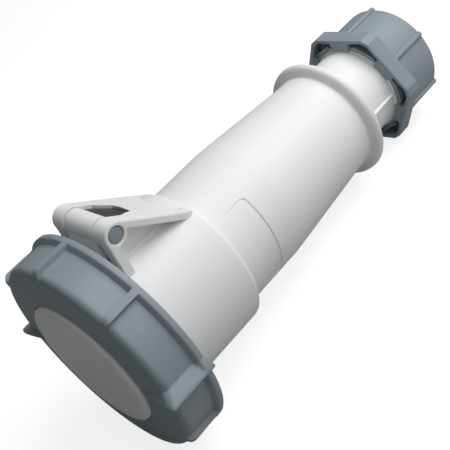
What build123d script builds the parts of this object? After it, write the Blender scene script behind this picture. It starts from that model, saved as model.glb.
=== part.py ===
"""Industrial five-pole cable connector with a hinged, bayonet-locked lid.

Units are millimetres. +X runs along the connector from the lid face (x = 0) to the
cable gland, +Z points from the axis to the lid hinge and the hinge pin lies along Y.
Angles round the axis start at +Z and grow towards -Y.
"""
import os
from math import cos, degrees, radians, sin, sqrt, tan

from build123d import *

# Driving sizes, read from the photograph at the scale of the 128 mm bayonet ring
LENGTH = 276.0
BODY_R = 39.1
NECK_R = 28.0
PIN_X = 39.3
PIN_Z = 61.3

# General gaps and fits
GAP = 0.3
RUN_FIT = 0.05
WALL = 2.9

# Radii of the shell and the rear housing
SHELL_R = BODY_R + 5.3
SHELL_END_R = SHELL_R + 0.4
SPIGOT_BORE_R = BODY_R + 2.8
SPIGOT_IN_R = SPIGOT_BORE_R - 5.9
SHELL_BORE_R = SPIGOT_BORE_R - 4.9
CONE_END_R = BODY_R - 5.3
COLLAR_R = BODY_R + 0.65
DISC_R = BODY_R - 0.3
NECK_BORE_R = NECK_R - 4.0

# Positions along the axis, the front ones from the lid's face and the rear ones from the gland's end
RING_FRONT_X = 3.0
RING_REAR_X = 27.5
SHELL_FRONT_X = 12.6
CARRIER_SEAT_X = 58.0
SHELL_REAR_X = 82.5
CONE_X = 127.0
CONE_END_X = LENGTH - 79.0
COLLAR_X = LENGTH - 72.8
COLLAR_REAR_X = LENGTH - 67.6
NUT_FRONT_X = LENGTH - 40.0
FLANGE_REAR_X = LENGTH - 30.0
NECK_END_X = LENGTH - 26.0

# Lid
LID_FLANGE_X = RING_FRONT_X + 3.0 + GAP
LID_FLANGE_T = 3.0
LID_BACK_X = LID_FLANGE_X + LID_FLANGE_T
CUP_IN_R = SHELL_R + 2.2
CUP_OUT_R = CUP_IN_R + 3.0
CUP_END_X = 17.5
LID_FLANGE_R = CUP_OUT_R + 3.4
DISC_ROUND = 2.0
FRONT_WALL = 3.2
ARM_HALF_Y = 11.7
ARM_X = 28.2
BARREL_R = 6.4
SEAL_IN_R = SHELL_BORE_R + 0.4
SEAL_OUT_R = CUP_IN_R - 2.7

# Bayonet ring
RING_IN_R = DISC_R + 0.8
RING_BORE_R = LID_FLANGE_R + GAP
RING_WEB_X = RING_FRONT_X + 3.0
RING_EDGE = 3.8
RING_WALL = 8.0
POCKET_DEPTH = 2.9
POCKET_FLOOR_R = RING_BORE_R + RING_WALL
RING_R = POCKET_FLOOR_R + POCKET_DEPTH
POCKET_END_X = RING_REAR_X - 5.4
RIM_X = RING_REAR_X - 3.4
RIM_ROUND = 0.8
# Ribs round one half of the ring; each half ends at a wing, and the other half repeats it
RIB_ANGLES = (-62.5, -40.0, 0.6, 42.5)
RIB_HALF_ANGLE = 2.1
WING_ANGLE = 90.0
WING_R = RING_R + 2.8
WING_FRONT_X = -0.9
WING_REAR_X = RING_REAR_X + 1.2
# Wing outline across the ring: (arc length from the steep side, drop below the wing's top)
WING_STEPS = (
    (-10.2, 6.0), (-8.2, 4.4), (-6.8, 2.6), (-5.6, 1.7), (-4.2, 1.8), (-3.0, 0.7), (-1.6, 0.0),
    (-0.5, 0.3), (0.1, 1.4),
)
CAM_IN_R = SHELL_R + 1.6
CAM_X = 22.3
CAM_T = 3.6
LUG_R = SHELL_R + 3.8
LUG_X = 18.4
LUG_T = 3.5
LUG_HALF_ANGLE = 9.0
LOCK_TURN = 30.0
RETAINER_X = LID_BACK_X + GAP
RETAINER_T = 2.0
SPLIT_HALF_ANGLE = 4.0

# Hinge bracket on the shell
CHEEK_IN_Y = ARM_HALF_Y + 0.7
CHEEK_OUT_Y = 21.5
WEB_DEPTH = 5.0
EYE_R = 6.6
PIN_R = 4.3
PIN_END_GAP = 0.5
EYE_RECESS_R = 4.9
EYE_RECESS_T = 1.2
STRUT_SLOPE = 35.0
STRUT_T = 4.0
PLATE_T = 2.6
POST_FRONT_X = PIN_X - 4.9
POST_REAR_X = PIN_X - 1.9
BRACKET_FOOT_Z = 30.0

# Contacts: four line contacts and a larger earth on one circle, a pilot on the axis
CONTACT_CIRCLE_R = 19.0
LINE_BORE_R = 4.1
EARTH_BORE_R = 5.1
PILOT_BORE_R = 2.6
SLEEVE_WALL = 1.3
TERMINAL_WALL = 2.6
CARRIER_FACE_X = 22.0
CARRIER_R = SHELL_BORE_R - 6.0
CARRIER_FLANGE_T = 5.0
CARRIER_REAR_X = 74.0
TERMINAL_END_X = 94.0
SLEEVE_SETBACK = 4.0
KEYWAY_LENGTH = 24.0
KEYWAY_ANGLE = 180.0
KEYWAY_HALF_ANGLE = 5.0

# Rear housing details
O_RING_X = 73.0
O_RING_T = 2.8
O_RING_DEPTH = 2.2
FIELD_X = 92.0
FIELD_REAR_X = 108.4
FIELD_DEPTH = 0.5
FIELD_ANGLE = 84.0
FIELD_HALF_ANGLE = 40.0
NECK_RIB_ANGLE = 90.5
NECK_RIB_HALF_ANGLE = 2.0
THREAD_LENGTH = 13.0

# Gland
SEAL_SEAT_X = NECK_END_X - 14.0
SEAL_BORE_R = 13.5
SEAL_END_X = NECK_END_X + 4.0
CAGE_END_X = NECK_END_X + 12.0
FINGERS = 10
FINGER_GAP_ANGLE = 3.0
WASHER_T = 2.4
NUT_BORE_R = NECK_R + 1.0 + GAP
HEX_APOTHEM = NECK_R + 6.8
HEX_CORNER_R = HEX_APOTHEM * 1.119
HEX_TURN_ANGLE = -1.5
NUT_WALL = 2.3
CELL_HALF_ANGLE = 18.5
MOUTH_R = SEAL_BORE_R + 3.5
DRUM_R = NECK_R + 5.5
DRUM_RIB_R = DRUM_R + 2.0
DRUM_RIB_HALF_ANGLE = 2.7


def polar(angle, radius):
    """Return the (y, z) point at an angle from +Z towards -Y."""
    return (-radius * sin(radians(angle)), radius * cos(radians(angle)))


def turn(points, mode=Mode.ADD):
    """Turn a closed (x, radius) outline round the connector axis."""
    with BuildSketch(Plane.XZ) as outline:
        with BuildLine():
            Polyline(*points, close=True)
        make_face()
    revolve(outline.sketch, axis=Axis.X, mode=mode)


def arc_turn(points, middle, half, mode=Mode.ADD):
    """Turn a closed (x, radius) outline round the axis, only to both sides of one angle."""
    with BuildSketch(Plane.XZ.rotated((middle - half, 0, 0))) as outline:
        with BuildLine():
            Polyline(*points, close=True)
        make_face()
    revolve(outline.sketch, axis=Axis.X, revolution_arc=2 * half, mode=mode)


def along_x(points, start, length, mode=Mode.ADD):
    """Extrude a closed (y, z) outline along +X from a start position."""
    with BuildSketch(Plane.YZ.offset(start)) as outline:
        with BuildLine():
            Polyline(*points, close=True)
        make_face()
    extrude(outline.sketch, amount=length, mode=mode)


def across_y(points, near, far, mode=Mode.ADD):
    """Extrude a closed (x, z) outline along Y between two positions."""
    with BuildSketch(Plane.XZ.offset(-far)) as outline:
        with BuildLine():
            Polyline(*points, close=True)
        make_face()
    extrude(outline.sketch, amount=far - near, mode=mode)


def disc(radius, start, end, centre=(0.0, 0.0), mode=Mode.ADD):
    """Add or cut a round bar along X between two positions."""
    with BuildSketch(Plane.YZ.offset(start)) as outline:
        with Locations(centre):
            Circle(radius)
    extrude(outline.sketch, amount=end - start, mode=mode)


def bar_y(radius, near, far, mode=Mode.ADD):
    """Add or cut a round bar along Y at the hinge pin."""
    with BuildSketch(Plane.XZ.offset(-far)) as outline:
        with Locations((PIN_X, PIN_Z)):
            Circle(radius)
    extrude(outline.sketch, amount=far - near, mode=mode)


def sector(inner, outer, start, end, middle, half, mode=Mode.ADD):
    """Add or cut a piece of a ring between two radii, two x and two angles."""
    with BuildSketch(Plane.YZ.offset(start)) as outline:
        with BuildLine():
            low_in = polar(middle - half, inner)
            low_out = polar(middle - half, outer)
            high_in = polar(middle + half, inner)
            high_out = polar(middle + half, outer)
            Line(low_in, low_out)
            ThreePointArc(low_out, polar(middle, outer), high_out)
            Line(high_out, high_in)
            ThreePointArc(high_in, polar(middle, inner), low_in)
        make_face()
    extrude(outline.sketch, amount=end - start, mode=mode)


def finish(part, label):
    """Name a finished piece and write its STEP file."""
    part.part.label = label
    export_step(part.part, f"parts/{label}.step")


os.makedirs("parts", exist_ok=True)

# Lid: a disc that stands proud of the ring, a flange that the ring turns on,
# a shallow cup round the shell's mouth and the arm up to the hinge barrel
with BuildPart() as lid:
    turn([
        (0.0, 0.0), (0.0, DISC_R - DISC_ROUND), (0.6, DISC_R - 0.6), (DISC_ROUND, DISC_R),
        (RING_FRONT_X - 0.5, DISC_R + 0.4), (LID_FLANGE_X, DISC_R + 0.4),
        (LID_FLANGE_X, LID_FLANGE_R), (LID_BACK_X, LID_FLANGE_R), (LID_BACK_X, CUP_OUT_R),
        (CUP_END_X, CUP_OUT_R), (CUP_END_X, CUP_IN_R), (LID_BACK_X, CUP_IN_R),
        (LID_BACK_X, DISC_R - 2.8), (FRONT_WALL, DISC_R - 2.8), (FRONT_WALL, 0.0),
    ])
    sector(CUP_IN_R + 0.1, CUP_OUT_R - 0.1, CUP_END_X - 6.0, ARM_X + 1.5, 0.0, 14.0)
    across_y([
        (ARM_X, CUP_IN_R - 0.4), (PIN_X - 5.3, CUP_IN_R - 0.4), (PIN_X + 1.7, LID_FLANGE_R),
        (PIN_X + 4.7, PIN_Z - 2.0), (PIN_X, PIN_Z), (PIN_X - BARREL_R + 0.4, PIN_Z + 1.0),
        (PIN_X - BARREL_R, PIN_Z - 2.0), (ARM_X + 1.2, CUP_OUT_R + 2.4), (ARM_X, CUP_OUT_R - 0.6),
    ], -ARM_HALF_Y, ARM_HALF_Y)
    bar_y(BARREL_R, -ARM_HALF_Y, ARM_HALF_Y)
    bar_y(PIN_R + RUN_FIT, -ARM_HALF_Y, ARM_HALF_Y, mode=Mode.SUBTRACT)
finish(lid, "lid")

with BuildPart() as lid_seal:
    turn([
        (LID_BACK_X, SEAL_IN_R), (LID_BACK_X, SEAL_OUT_R),
        (SHELL_FRONT_X - GAP, SEAL_OUT_R), (SHELL_FRONT_X - GAP, SEAL_IN_R),
    ])
finish(lid_seal, "lid_seal")


def soft_front(top):
    """Return the (x, radius) points of the ring's rounded front edge up to an outer radius."""
    steps = 6
    points = []
    for step in range(steps + 1):
        angle = radians(90.0 * step / steps)
        points.append((RING_FRONT_X + RING_EDGE * (1.0 - cos(angle)), top - RING_EDGE * (1.0 - sin(angle))))
    return points


# Bayonet ring: annular front, drum with pockets between ribs, rear rim,
# two finger wings and two inner cams
with BuildPart() as bayonet_ring:
    turn([(RING_FRONT_X, RING_IN_R)] + soft_front(POCKET_FLOOR_R) + [
        (POCKET_END_X, POCKET_FLOOR_R), (RIM_X, RING_R), (RING_REAR_X - RIM_ROUND, RING_R),
        (RING_REAR_X, RING_R - RIM_ROUND), (RING_REAR_X, RING_BORE_R), (RING_WEB_X, RING_BORE_R),
        (RING_WEB_X, RING_IN_R),
    ])
    for half_turn in (0.0, 180.0):
        for mark in RIB_ANGLES:
            arc_turn([(RING_FRONT_X, POCKET_FLOOR_R - RING_EDGE - 1.0)] + soft_front(RING_R) + [
                (RIM_X, RING_R), (POCKET_END_X + 1.0, POCKET_FLOOR_R - 1.0),
                (RING_FRONT_X + RING_EDGE, POCKET_FLOOR_R - 1.0),
            ], mark + half_turn, RIB_HALF_ANGLE)
    for wing in (WING_ANGLE, WING_ANGLE - 180.0):
        blade_in_r = RING_BORE_R + 1.0
        first_angle = degrees(WING_STEPS[0][0] / WING_R)
        last_angle = degrees(WING_STEPS[-1][0] / WING_R)
        rounding = [polar(wing + degrees(t / WING_R), WING_R - drop) for t, drop in WING_STEPS]
        with BuildPart(mode=Mode.PRIVATE) as blade:
            along_x(rounding + [polar(wing + last_angle, blade_in_r), polar(wing + first_angle, blade_in_r)],
                    WING_FRONT_X, WING_REAR_X - WING_FRONT_X)
            with BuildSketch(Plane.XZ.rotated((wing, 0, 0))) as side:
                with BuildLine():
                    Polyline((RING_FRONT_X + 1.4, RING_R - 14.2), (RING_FRONT_X - 1.0, RING_R - 9.2),
                             (WING_FRONT_X, RING_R), (WING_FRONT_X + 0.3, WING_R - 1.0),
                             (WING_FRONT_X + 1.6, WING_R), (WING_REAR_X, WING_R + 0.5),
                             (WING_REAR_X, RING_R - 2.7), (RING_REAR_X, RING_R - 6.2),
                             (RING_REAR_X, RING_R - 14.2), close=True)
                make_face()
            extrude(side.sketch, amount=14.0, both=True, mode=Mode.INTERSECT)
        add(blade.part)
        # The wing runs on over the front face as a low ridge that widens outwards
        ridge_r = RING_R - 1.7
        with BuildPart(mode=Mode.PRIVATE) as ridge:
            with BuildSketch(Plane.XZ.rotated((wing, 0, 0))) as side:
                with BuildLine():
                    Polyline((RING_FRONT_X + 0.6, RING_IN_R + 1.2), (RING_FRONT_X - 0.2, RING_IN_R + 1.2),
                             (WING_FRONT_X + 0.2, ridge_r), (RING_FRONT_X + 2.0, ridge_r), close=True)
                make_face()
            extrude(side.sketch, amount=9.0, both=True)
            with BuildSketch(Plane.YZ.offset(WING_FRONT_X)) as across:
                with BuildLine():
                    Polyline(polar(wing - 0.6, RING_IN_R + 1.0), polar(wing, ridge_r),
                             polar(wing - 6.6, ridge_r), close=True)
                make_face()
            extrude(across.sketch, amount=8.0, mode=Mode.INTERSECT)
        add(ridge.part)
        sector(CAM_IN_R, RING_BORE_R + 0.5, CAM_X, CAM_X + CAM_T, wing + LOCK_TURN, LUG_HALF_ANGLE)
finish(bayonet_ring, "bayonet_ring")

with BuildPart() as ring_retainer:
    turn([
        (RETAINER_X, CUP_OUT_R + GAP), (RETAINER_X, RING_BORE_R),
        (RETAINER_X + RETAINER_T, RING_BORE_R), (RETAINER_X + RETAINER_T, CUP_OUT_R + GAP),
    ])
    # The clip is split under the lid's arm
    sector(CUP_IN_R, RING_R, RETAINER_X - 1.0, RETAINER_X + RETAINER_T + 2.0, 180.0, SPLIT_HALF_ANGLE,
           mode=Mode.SUBTRACT)
finish(ring_retainer, "ring_retainer")

# Front shell with the hinge bracket and the two bayonet lugs
pin_plane = PIN_X * sin(radians(STRUT_SLOPE)) + PIN_Z * cos(radians(STRUT_SLOPE))
strut_in = pin_plane + EYE_R - STRUT_T
strut_out = pin_plane + EYE_R


def slope_z(level, x):
    """Height at x of a line with the strut's slope at a given distance from the origin."""
    return (level - x * sin(radians(STRUT_SLOPE))) / cos(radians(STRUT_SLOPE))


with BuildPart() as front_shell:
    eye_foot = PIN_X + EYE_R * sin(radians(STRUT_SLOPE))
    past_end_x = SHELL_REAR_X + 6.0
    for side in (-1.0, 1.0):
        near = min(side * CHEEK_IN_Y, side * CHEEK_OUT_Y)
        far = max(side * CHEEK_IN_Y, side * CHEEK_OUT_Y)
        across_y([
            (eye_foot, slope_z(strut_out, eye_foot)), (past_end_x, slope_z(strut_out, past_end_x)),
            (past_end_x, BRACKET_FOOT_Z), (POST_FRONT_X, BRACKET_FOOT_Z), (POST_FRONT_X, PIN_Z),
            (PIN_X, PIN_Z),
        ], near, far)
        # Recessed web between the upper strut and the post
        web = side * (CHEEK_OUT_Y - WEB_DEPTH)
        past_cheek = side * (CHEEK_OUT_Y + 1.0)
        across_y([
            (POST_REAR_X, BRACKET_FOOT_Z), (POST_REAR_X, PIN_Z), (past_end_x + 2.0, PIN_Z),
            (past_end_x + 2.0, BRACKET_FOOT_Z),
        ], min(web, past_cheek), max(web, past_cheek), mode=Mode.SUBTRACT)
        across_y([
            (eye_foot, slope_z(strut_out, eye_foot)), (past_end_x, slope_z(strut_out, past_end_x)),
            (past_end_x, slope_z(strut_in, past_end_x)), (eye_foot, slope_z(strut_in, eye_foot)),
        ], near, far)
        bar_y(EYE_R, near, far)
    # Sloping plate between the cheeks, with a window behind the barrel
    plate_x = PIN_X + 10.7
    across_y([
        (plate_x, slope_z(strut_out, plate_x)), (past_end_x, slope_z(strut_out, past_end_x)),
        (past_end_x, slope_z(strut_out - PLATE_T, past_end_x)), (plate_x, slope_z(strut_out - PLATE_T, plate_x)),
    ], -CHEEK_IN_Y, CHEEK_IN_Y)
    inside_y = CHEEK_IN_Y - 0.01
    with BuildSketch(Plane.XY.offset(BRACKET_FOOT_Z)) as window:
        with BuildLine():
            Polyline((PIN_X + 6.7, inside_y), (PIN_X + 11.7, inside_y), (PIN_X + 14.7, CHEEK_IN_Y - 2.7),
                     (PIN_X + 19.3, CHEEK_IN_Y - 4.9), (PIN_X + 20.3, 3.0), (PIN_X + 19.9, -3.0),
                     (PIN_X + 19.3, 4.9 - CHEEK_IN_Y), (PIN_X + 14.7, 2.7 - CHEEK_IN_Y),
                     (PIN_X + 11.7, -inside_y), (PIN_X + 6.7, -inside_y), close=True)
        make_face()
    extrude(window.sketch, amount=40.0, mode=Mode.SUBTRACT)
    # Everything of the bracket stops at the seam
    seam_x = SHELL_REAR_X - 1.2
    across_y([(seam_x, 20.0), (seam_x, PIN_Z + 20.0), (seam_x + 20.0, PIN_Z + 20.0), (seam_x + 20.0, 20.0)],
             -CHEEK_OUT_Y - 5.0, CHEEK_OUT_Y + 5.0, mode=Mode.SUBTRACT)
    turn([
        (SHELL_FRONT_X, SHELL_R - 0.8), (SHELL_FRONT_X + 0.8, SHELL_R), (SHELL_REAR_X - 2.6, SHELL_END_R),
        (SHELL_REAR_X - 1.2, SHELL_END_R - 0.4), (SHELL_REAR_X - 0.3, SHELL_END_R - 1.4),
        (SHELL_REAR_X, SHELL_END_R - 2.6), (SHELL_REAR_X, 20.0), (SHELL_FRONT_X, 20.0),
    ])
    disc(SHELL_BORE_R, SHELL_FRONT_X - 1.0, SHELL_REAR_X + 1.0, mode=Mode.SUBTRACT)
    disc(SPIGOT_BORE_R, CARRIER_SEAT_X, SHELL_REAR_X + 1.0, mode=Mode.SUBTRACT)
    for lug in (WING_ANGLE, WING_ANGLE - 180.0):
        sector(SHELL_BORE_R + 1.0, LUG_R, LUG_X, LUG_X + LUG_T, lug, LUG_HALF_ANGLE)
    bar_y(PIN_R, -CHEEK_OUT_Y - 1.0, CHEEK_OUT_Y + 1.0, mode=Mode.SUBTRACT)
    bar_y(EYE_RECESS_R, -CHEEK_OUT_Y - 1.0, -CHEEK_OUT_Y + EYE_RECESS_T, mode=Mode.SUBTRACT)
    bar_y(EYE_RECESS_R, CHEEK_OUT_Y - EYE_RECESS_T, CHEEK_OUT_Y + 1.0, mode=Mode.SUBTRACT)
finish(front_shell, "front_shell")

with BuildPart() as hinge_pin:
    bar_y(PIN_R, -CHEEK_OUT_Y + PIN_END_GAP, CHEEK_OUT_Y - PIN_END_GAP)
    chamfer(hinge_pin.edges().filter_by(GeomType.CIRCLE), 0.5)
finish(hinge_pin, "hinge_pin")


# Contact positions: (name, angle, circle radius, bore radius)
CONTACTS = (
    ("line_1", 72.0, CONTACT_CIRCLE_R, LINE_BORE_R),
    ("line_2", 144.0, CONTACT_CIRCLE_R, LINE_BORE_R),
    ("line_3", 216.0, CONTACT_CIRCLE_R, LINE_BORE_R),
    ("neutral", 288.0, CONTACT_CIRCLE_R, LINE_BORE_R),
    ("earth", 0.0, CONTACT_CIRCLE_R, EARTH_BORE_R),
    ("pilot", 0.0, 0.0, PILOT_BORE_R),
)

# Insulating carrier that holds the contacts, clamped by the rear housing
flange_end = CARRIER_SEAT_X + CARRIER_FLANGE_T
sleeve_start = CARRIER_FACE_X + SLEEVE_SETBACK
with BuildPart() as contact_carrier:
    turn([
        (CARRIER_FACE_X, 0.0), (CARRIER_FACE_X, CARRIER_R - 1.0), (CARRIER_FACE_X + 1.0, CARRIER_R),
        (CARRIER_SEAT_X, CARRIER_R), (CARRIER_SEAT_X, SPIGOT_BORE_R - 0.2),
        (flange_end, SPIGOT_BORE_R - 0.2), (flange_end, CARRIER_R - 1.0),
        (CARRIER_REAR_X, CARRIER_R - 1.0), (CARRIER_REAR_X, 0.0),
    ])
    for _, angle, circle_r, bore_r in CONTACTS:
        centre = polar(angle, circle_r)
        disc(bore_r + 0.4, CARRIER_FACE_X - 1.0, sleeve_start + 1.0, centre, mode=Mode.SUBTRACT)
        disc(bore_r + SLEEVE_WALL, sleeve_start, CARRIER_REAR_X + 1.0, centre, mode=Mode.SUBTRACT)
    # Keyway that only lets the right plug in
    sector(CARRIER_R - 2.5, CARRIER_R + 2.0, CARRIER_FACE_X - 1.0, CARRIER_FACE_X + KEYWAY_LENGTH,
           KEYWAY_ANGLE, KEYWAY_HALF_ANGLE, mode=Mode.SUBTRACT)
finish(contact_carrier, "contact_carrier")

for name, angle, circle_r, bore_r in CONTACTS:
    centre = polar(angle, circle_r)
    outwards = polar(angle, 1.0)
    head_r = bore_r + (TERMINAL_WALL if circle_r > 0 else 1.8)
    screw_r = 2.4 if circle_r > 0 else 1.4
    head_x = (CARRIER_REAR_X + TERMINAL_END_X) / 2 + 3.0
    screw_plane = Plane((head_x, *centre), x_dir=(1, 0, 0), z_dir=(0, *outwards))
    with BuildPart() as contact:
        disc(bore_r + SLEEVE_WALL, sleeve_start, CARRIER_REAR_X, centre)
        disc(head_r, CARRIER_REAR_X, TERMINAL_END_X, centre)
        disc(bore_r, sleeve_start - 1.0, CARRIER_REAR_X - 8.0, centre, mode=Mode.SUBTRACT)
        disc(bore_r, CARRIER_REAR_X + 2.0, TERMINAL_END_X + 1.0, centre, mode=Mode.SUBTRACT)
        # Threaded hole of the clamping screw, towards the outside
        with BuildSketch(screw_plane) as hole:
            Circle(screw_r)
        extrude(hole.sketch, amount=head_r + 2.0, mode=Mode.SUBTRACT)
    finish(contact, f"contact_{name}")
    with BuildPart() as screw:
        with BuildSketch(screw_plane.offset(bore_r * 0.5)) as shank:
            Circle(screw_r)
        extrude(shank.sketch, amount=head_r - bore_r * 0.5 + 1.0)
        with BuildSketch(screw_plane.offset(head_r + 0.2)) as slot:
            Rectangle(0.7, screw_r * 3.0)
        extrude(slot.sketch, amount=2.0, mode=Mode.SUBTRACT)
    finish(screw, f"screw_{name}")

with BuildPart() as socket_gasket:
    turn([
        (CARRIER_SEAT_X - 3.5, CARRIER_R), (CARRIER_SEAT_X - 3.5, SHELL_BORE_R),
        (CARRIER_SEAT_X, SHELL_BORE_R), (CARRIER_SEAT_X, CARRIER_R),
    ])
finish(socket_gasket, "socket_gasket")

# Rear housing: spigot inside the shell, cylinder, cone, collar and threaded neck
o_ring_end_x = O_RING_X + O_RING_T
thread_x = NECK_END_X - THREAD_LENGTH
with BuildPart() as rear_housing:
    turn([
        (flange_end, SPIGOT_IN_R), (flange_end, SPIGOT_BORE_R - 0.1), (O_RING_X, SPIGOT_BORE_R - 0.1),
        (O_RING_X, SPIGOT_BORE_R - O_RING_DEPTH), (o_ring_end_x, SPIGOT_BORE_R - O_RING_DEPTH),
        (o_ring_end_x, SPIGOT_BORE_R - 0.1), (SHELL_REAR_X - 0.6, SPIGOT_BORE_R - 0.1),
        (SHELL_REAR_X - 0.2, BODY_R + 0.3), (SHELL_REAR_X + 1.0, BODY_R - 0.2),
        (CONE_X - 6.0, BODY_R + 0.1),
        (CONE_X + 4.0, BODY_R - 0.35), (CONE_END_X - 2.0, CONE_END_R), (CONE_END_X + 2.0, CONE_END_R + 0.5),
        (COLLAR_X - 1.6, CONE_END_R + 2.4), (COLLAR_X - 0.4, COLLAR_R - 2.2), (COLLAR_X + 0.3, COLLAR_R - 0.6),
        (COLLAR_X + 1.4, COLLAR_R), (COLLAR_REAR_X - 1.2, COLLAR_R), (COLLAR_REAR_X, COLLAR_R - 1.2),
        (COLLAR_REAR_X, NECK_R + 1.0), (COLLAR_REAR_X + 1.0, NECK_R), (thread_x, NECK_R - 0.4),
        (thread_x, NECK_R + 1.0), (NECK_END_X - 1.0, NECK_R + 1.0), (NECK_END_X, NECK_R),
        (NECK_END_X, NECK_BORE_R), (SEAL_SEAT_X, NECK_BORE_R), (SEAL_SEAT_X, NECK_BORE_R - 4.5),
        (SEAL_SEAT_X - 4.0, NECK_BORE_R - 4.5), (COLLAR_REAR_X + 8.0, NECK_BORE_R),
        (COLLAR_X - 4.0, NECK_BORE_R + 1.5), (CONE_END_X - 10.0, CONE_END_R - WALL - 0.4), (CONE_X, BODY_R - WALL),
        (SHELL_REAR_X, BODY_R - WALL),
    ])
    # Label field on the side: flush at the front, deepest towards the gland
    arc_turn([
        (FIELD_X, BODY_R - 0.2), (FIELD_REAR_X, BODY_R - FIELD_DEPTH), (FIELD_REAR_X, BODY_R + 2.0),
        (FIELD_X, BODY_R + 2.0),
    ], FIELD_ANGLE, FIELD_HALF_ANGLE, mode=Mode.SUBTRACT)
    # Small rib along the neck
    sector(NECK_R - 1.5, NECK_R + 0.6, COLLAR_REAR_X, NUT_FRONT_X + 2.0, NECK_RIB_ANGLE, NECK_RIB_HALF_ANGLE)
finish(rear_housing, "rear_housing")

with BuildPart() as housing_o_ring:
    turn([
        (O_RING_X, SPIGOT_BORE_R - O_RING_DEPTH), (O_RING_X, SPIGOT_BORE_R),
        (o_ring_end_x, SPIGOT_BORE_R), (o_ring_end_x, SPIGOT_BORE_R - O_RING_DEPTH),
    ])
finish(housing_o_ring, "housing_o_ring")

# Gland: rubber seal in the neck, clamp cage, washer and nut
with BuildPart() as gland_seal:
    turn([
        (SEAL_SEAT_X, SEAL_BORE_R + 1.0), (SEAL_SEAT_X, NECK_BORE_R), (NECK_END_X, NECK_BORE_R),
        (SEAL_END_X, NECK_BORE_R - 1.5), (SEAL_END_X, SEAL_BORE_R + 1.0), (SEAL_END_X - 1.0, SEAL_BORE_R),
        (SEAL_SEAT_X + 1.0, SEAL_BORE_R),
    ])
finish(gland_seal, "gland_seal")

with BuildPart() as clamp_cage:
    turn([
        (SEAL_END_X, SEAL_BORE_R + 1.2), (SEAL_END_X, NECK_R), (CAGE_END_X, NECK_R),
        (CAGE_END_X, SEAL_BORE_R + 1.2),
    ])
    for finger in range(FINGERS):
        sector(SEAL_BORE_R - 1.0, NECK_BORE_R, SEAL_END_X + 2.5, CAGE_END_X + 1.0,
               360.0 / FINGERS * (finger + 0.5), FINGER_GAP_ANGLE, mode=Mode.SUBTRACT)
finish(clamp_cage, "clamp_cage")

with BuildPart() as gland_washer:
    turn([
        (CAGE_END_X, SEAL_BORE_R + 2.5), (CAGE_END_X, NECK_R), (CAGE_END_X + WASHER_T, NECK_R),
        (CAGE_END_X + WASHER_T, SEAL_BORE_R + 2.5),
    ])
finish(gland_washer, "gland_washer")

nut_wall_x = CAGE_END_X + WASHER_T + GAP
hex_corner = HEX_APOTHEM / cos(radians(30.0))
chamfer_half = (hex_corner - HEX_CORNER_R) * tan(radians(60.0))
chamfer_angle = degrees(chamfer_half / HEX_CORNER_R)
chamfer_end_r = sqrt(HEX_CORNER_R ** 2 + chamfer_half ** 2)
with BuildPart() as gland_nut:
    outline = []
    for corner in range(6):
        middle = 60.0 * corner + 30.0 + HEX_TURN_ANGLE
        outline.append(polar(middle - chamfer_angle, chamfer_end_r))
        outline.append(polar(middle + chamfer_angle, chamfer_end_r))
    along_x(outline, NUT_FRONT_X, FLANGE_REAR_X - NUT_FRONT_X)
    chamfer(gland_nut.edges().group_by(Axis.X)[-1], 0.6)
    # Hollow cells behind the corners, open to the front
    side_r = (HEX_APOTHEM - NUT_WALL) / cos(radians(30.0 - CELL_HALF_ANGLE))
    corner_r = HEX_CORNER_R - NUT_WALL
    inner_r = NUT_BORE_R + 2.0
    for corner in range(6):
        middle = 60.0 * corner + 30.0 + HEX_TURN_ANGLE
        cell = [
            polar(middle - CELL_HALF_ANGLE, inner_r), polar(middle, inner_r),
            polar(middle + CELL_HALF_ANGLE, inner_r), polar(middle + CELL_HALF_ANGLE, side_r),
            polar(middle + chamfer_angle, corner_r),
            polar(middle - chamfer_angle, corner_r), polar(middle - CELL_HALF_ANGLE, side_r),
        ]
        along_x(cell, NUT_FRONT_X - 1.0, FLANGE_REAR_X - NUT_FRONT_X - 1.6, mode=Mode.SUBTRACT)
        sector(NUT_BORE_R - 1.0, NUT_BORE_R + 3.0, NUT_FRONT_X - 1.0, NUT_FRONT_X + 1.4,
               middle, CELL_HALF_ANGLE, mode=Mode.SUBTRACT)
    turn([
        (FLANGE_REAR_X - 3.0, NUT_BORE_R - 2.0), (FLANGE_REAR_X - 3.0, DRUM_R), (LENGTH - 3.0, DRUM_R),
        (LENGTH - 1.3, DRUM_R - 0.5), (LENGTH - 0.4, DRUM_R - 1.4), (LENGTH, DRUM_R - 3.0),
        (LENGTH, MOUTH_R + 2.0), (LENGTH - 2.0, MOUTH_R + 0.5), (nut_wall_x, MOUTH_R),
    ])
    for rib in range(6):
        sector(DRUM_R - 2.0, DRUM_RIB_R, FLANGE_REAR_X - 1.0, LENGTH - 1.4, 60.0 * rib + HEX_TURN_ANGLE,
               DRUM_RIB_HALF_ANGLE)
    disc(NUT_BORE_R, NUT_FRONT_X - 1.0, nut_wall_x, mode=Mode.SUBTRACT)
finish(gland_nut, "gland_nut")
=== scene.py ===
"""Looks for the five-pole cable connector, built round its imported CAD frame.

Sizes and places are in millimetres, as in the part's source, unless a docstring says metres.
+X runs from the lid face to the gland and +Z points to the hinge. Angles round the axis are in
degrees, start at +Z and grow towards -Y.
"""

import logging
import math
from dataclasses import dataclass
from enum import Enum
from typing import Callable, ClassVar, Sequence

import bmesh
import bpy
from mathutils import Matrix, Vector


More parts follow.
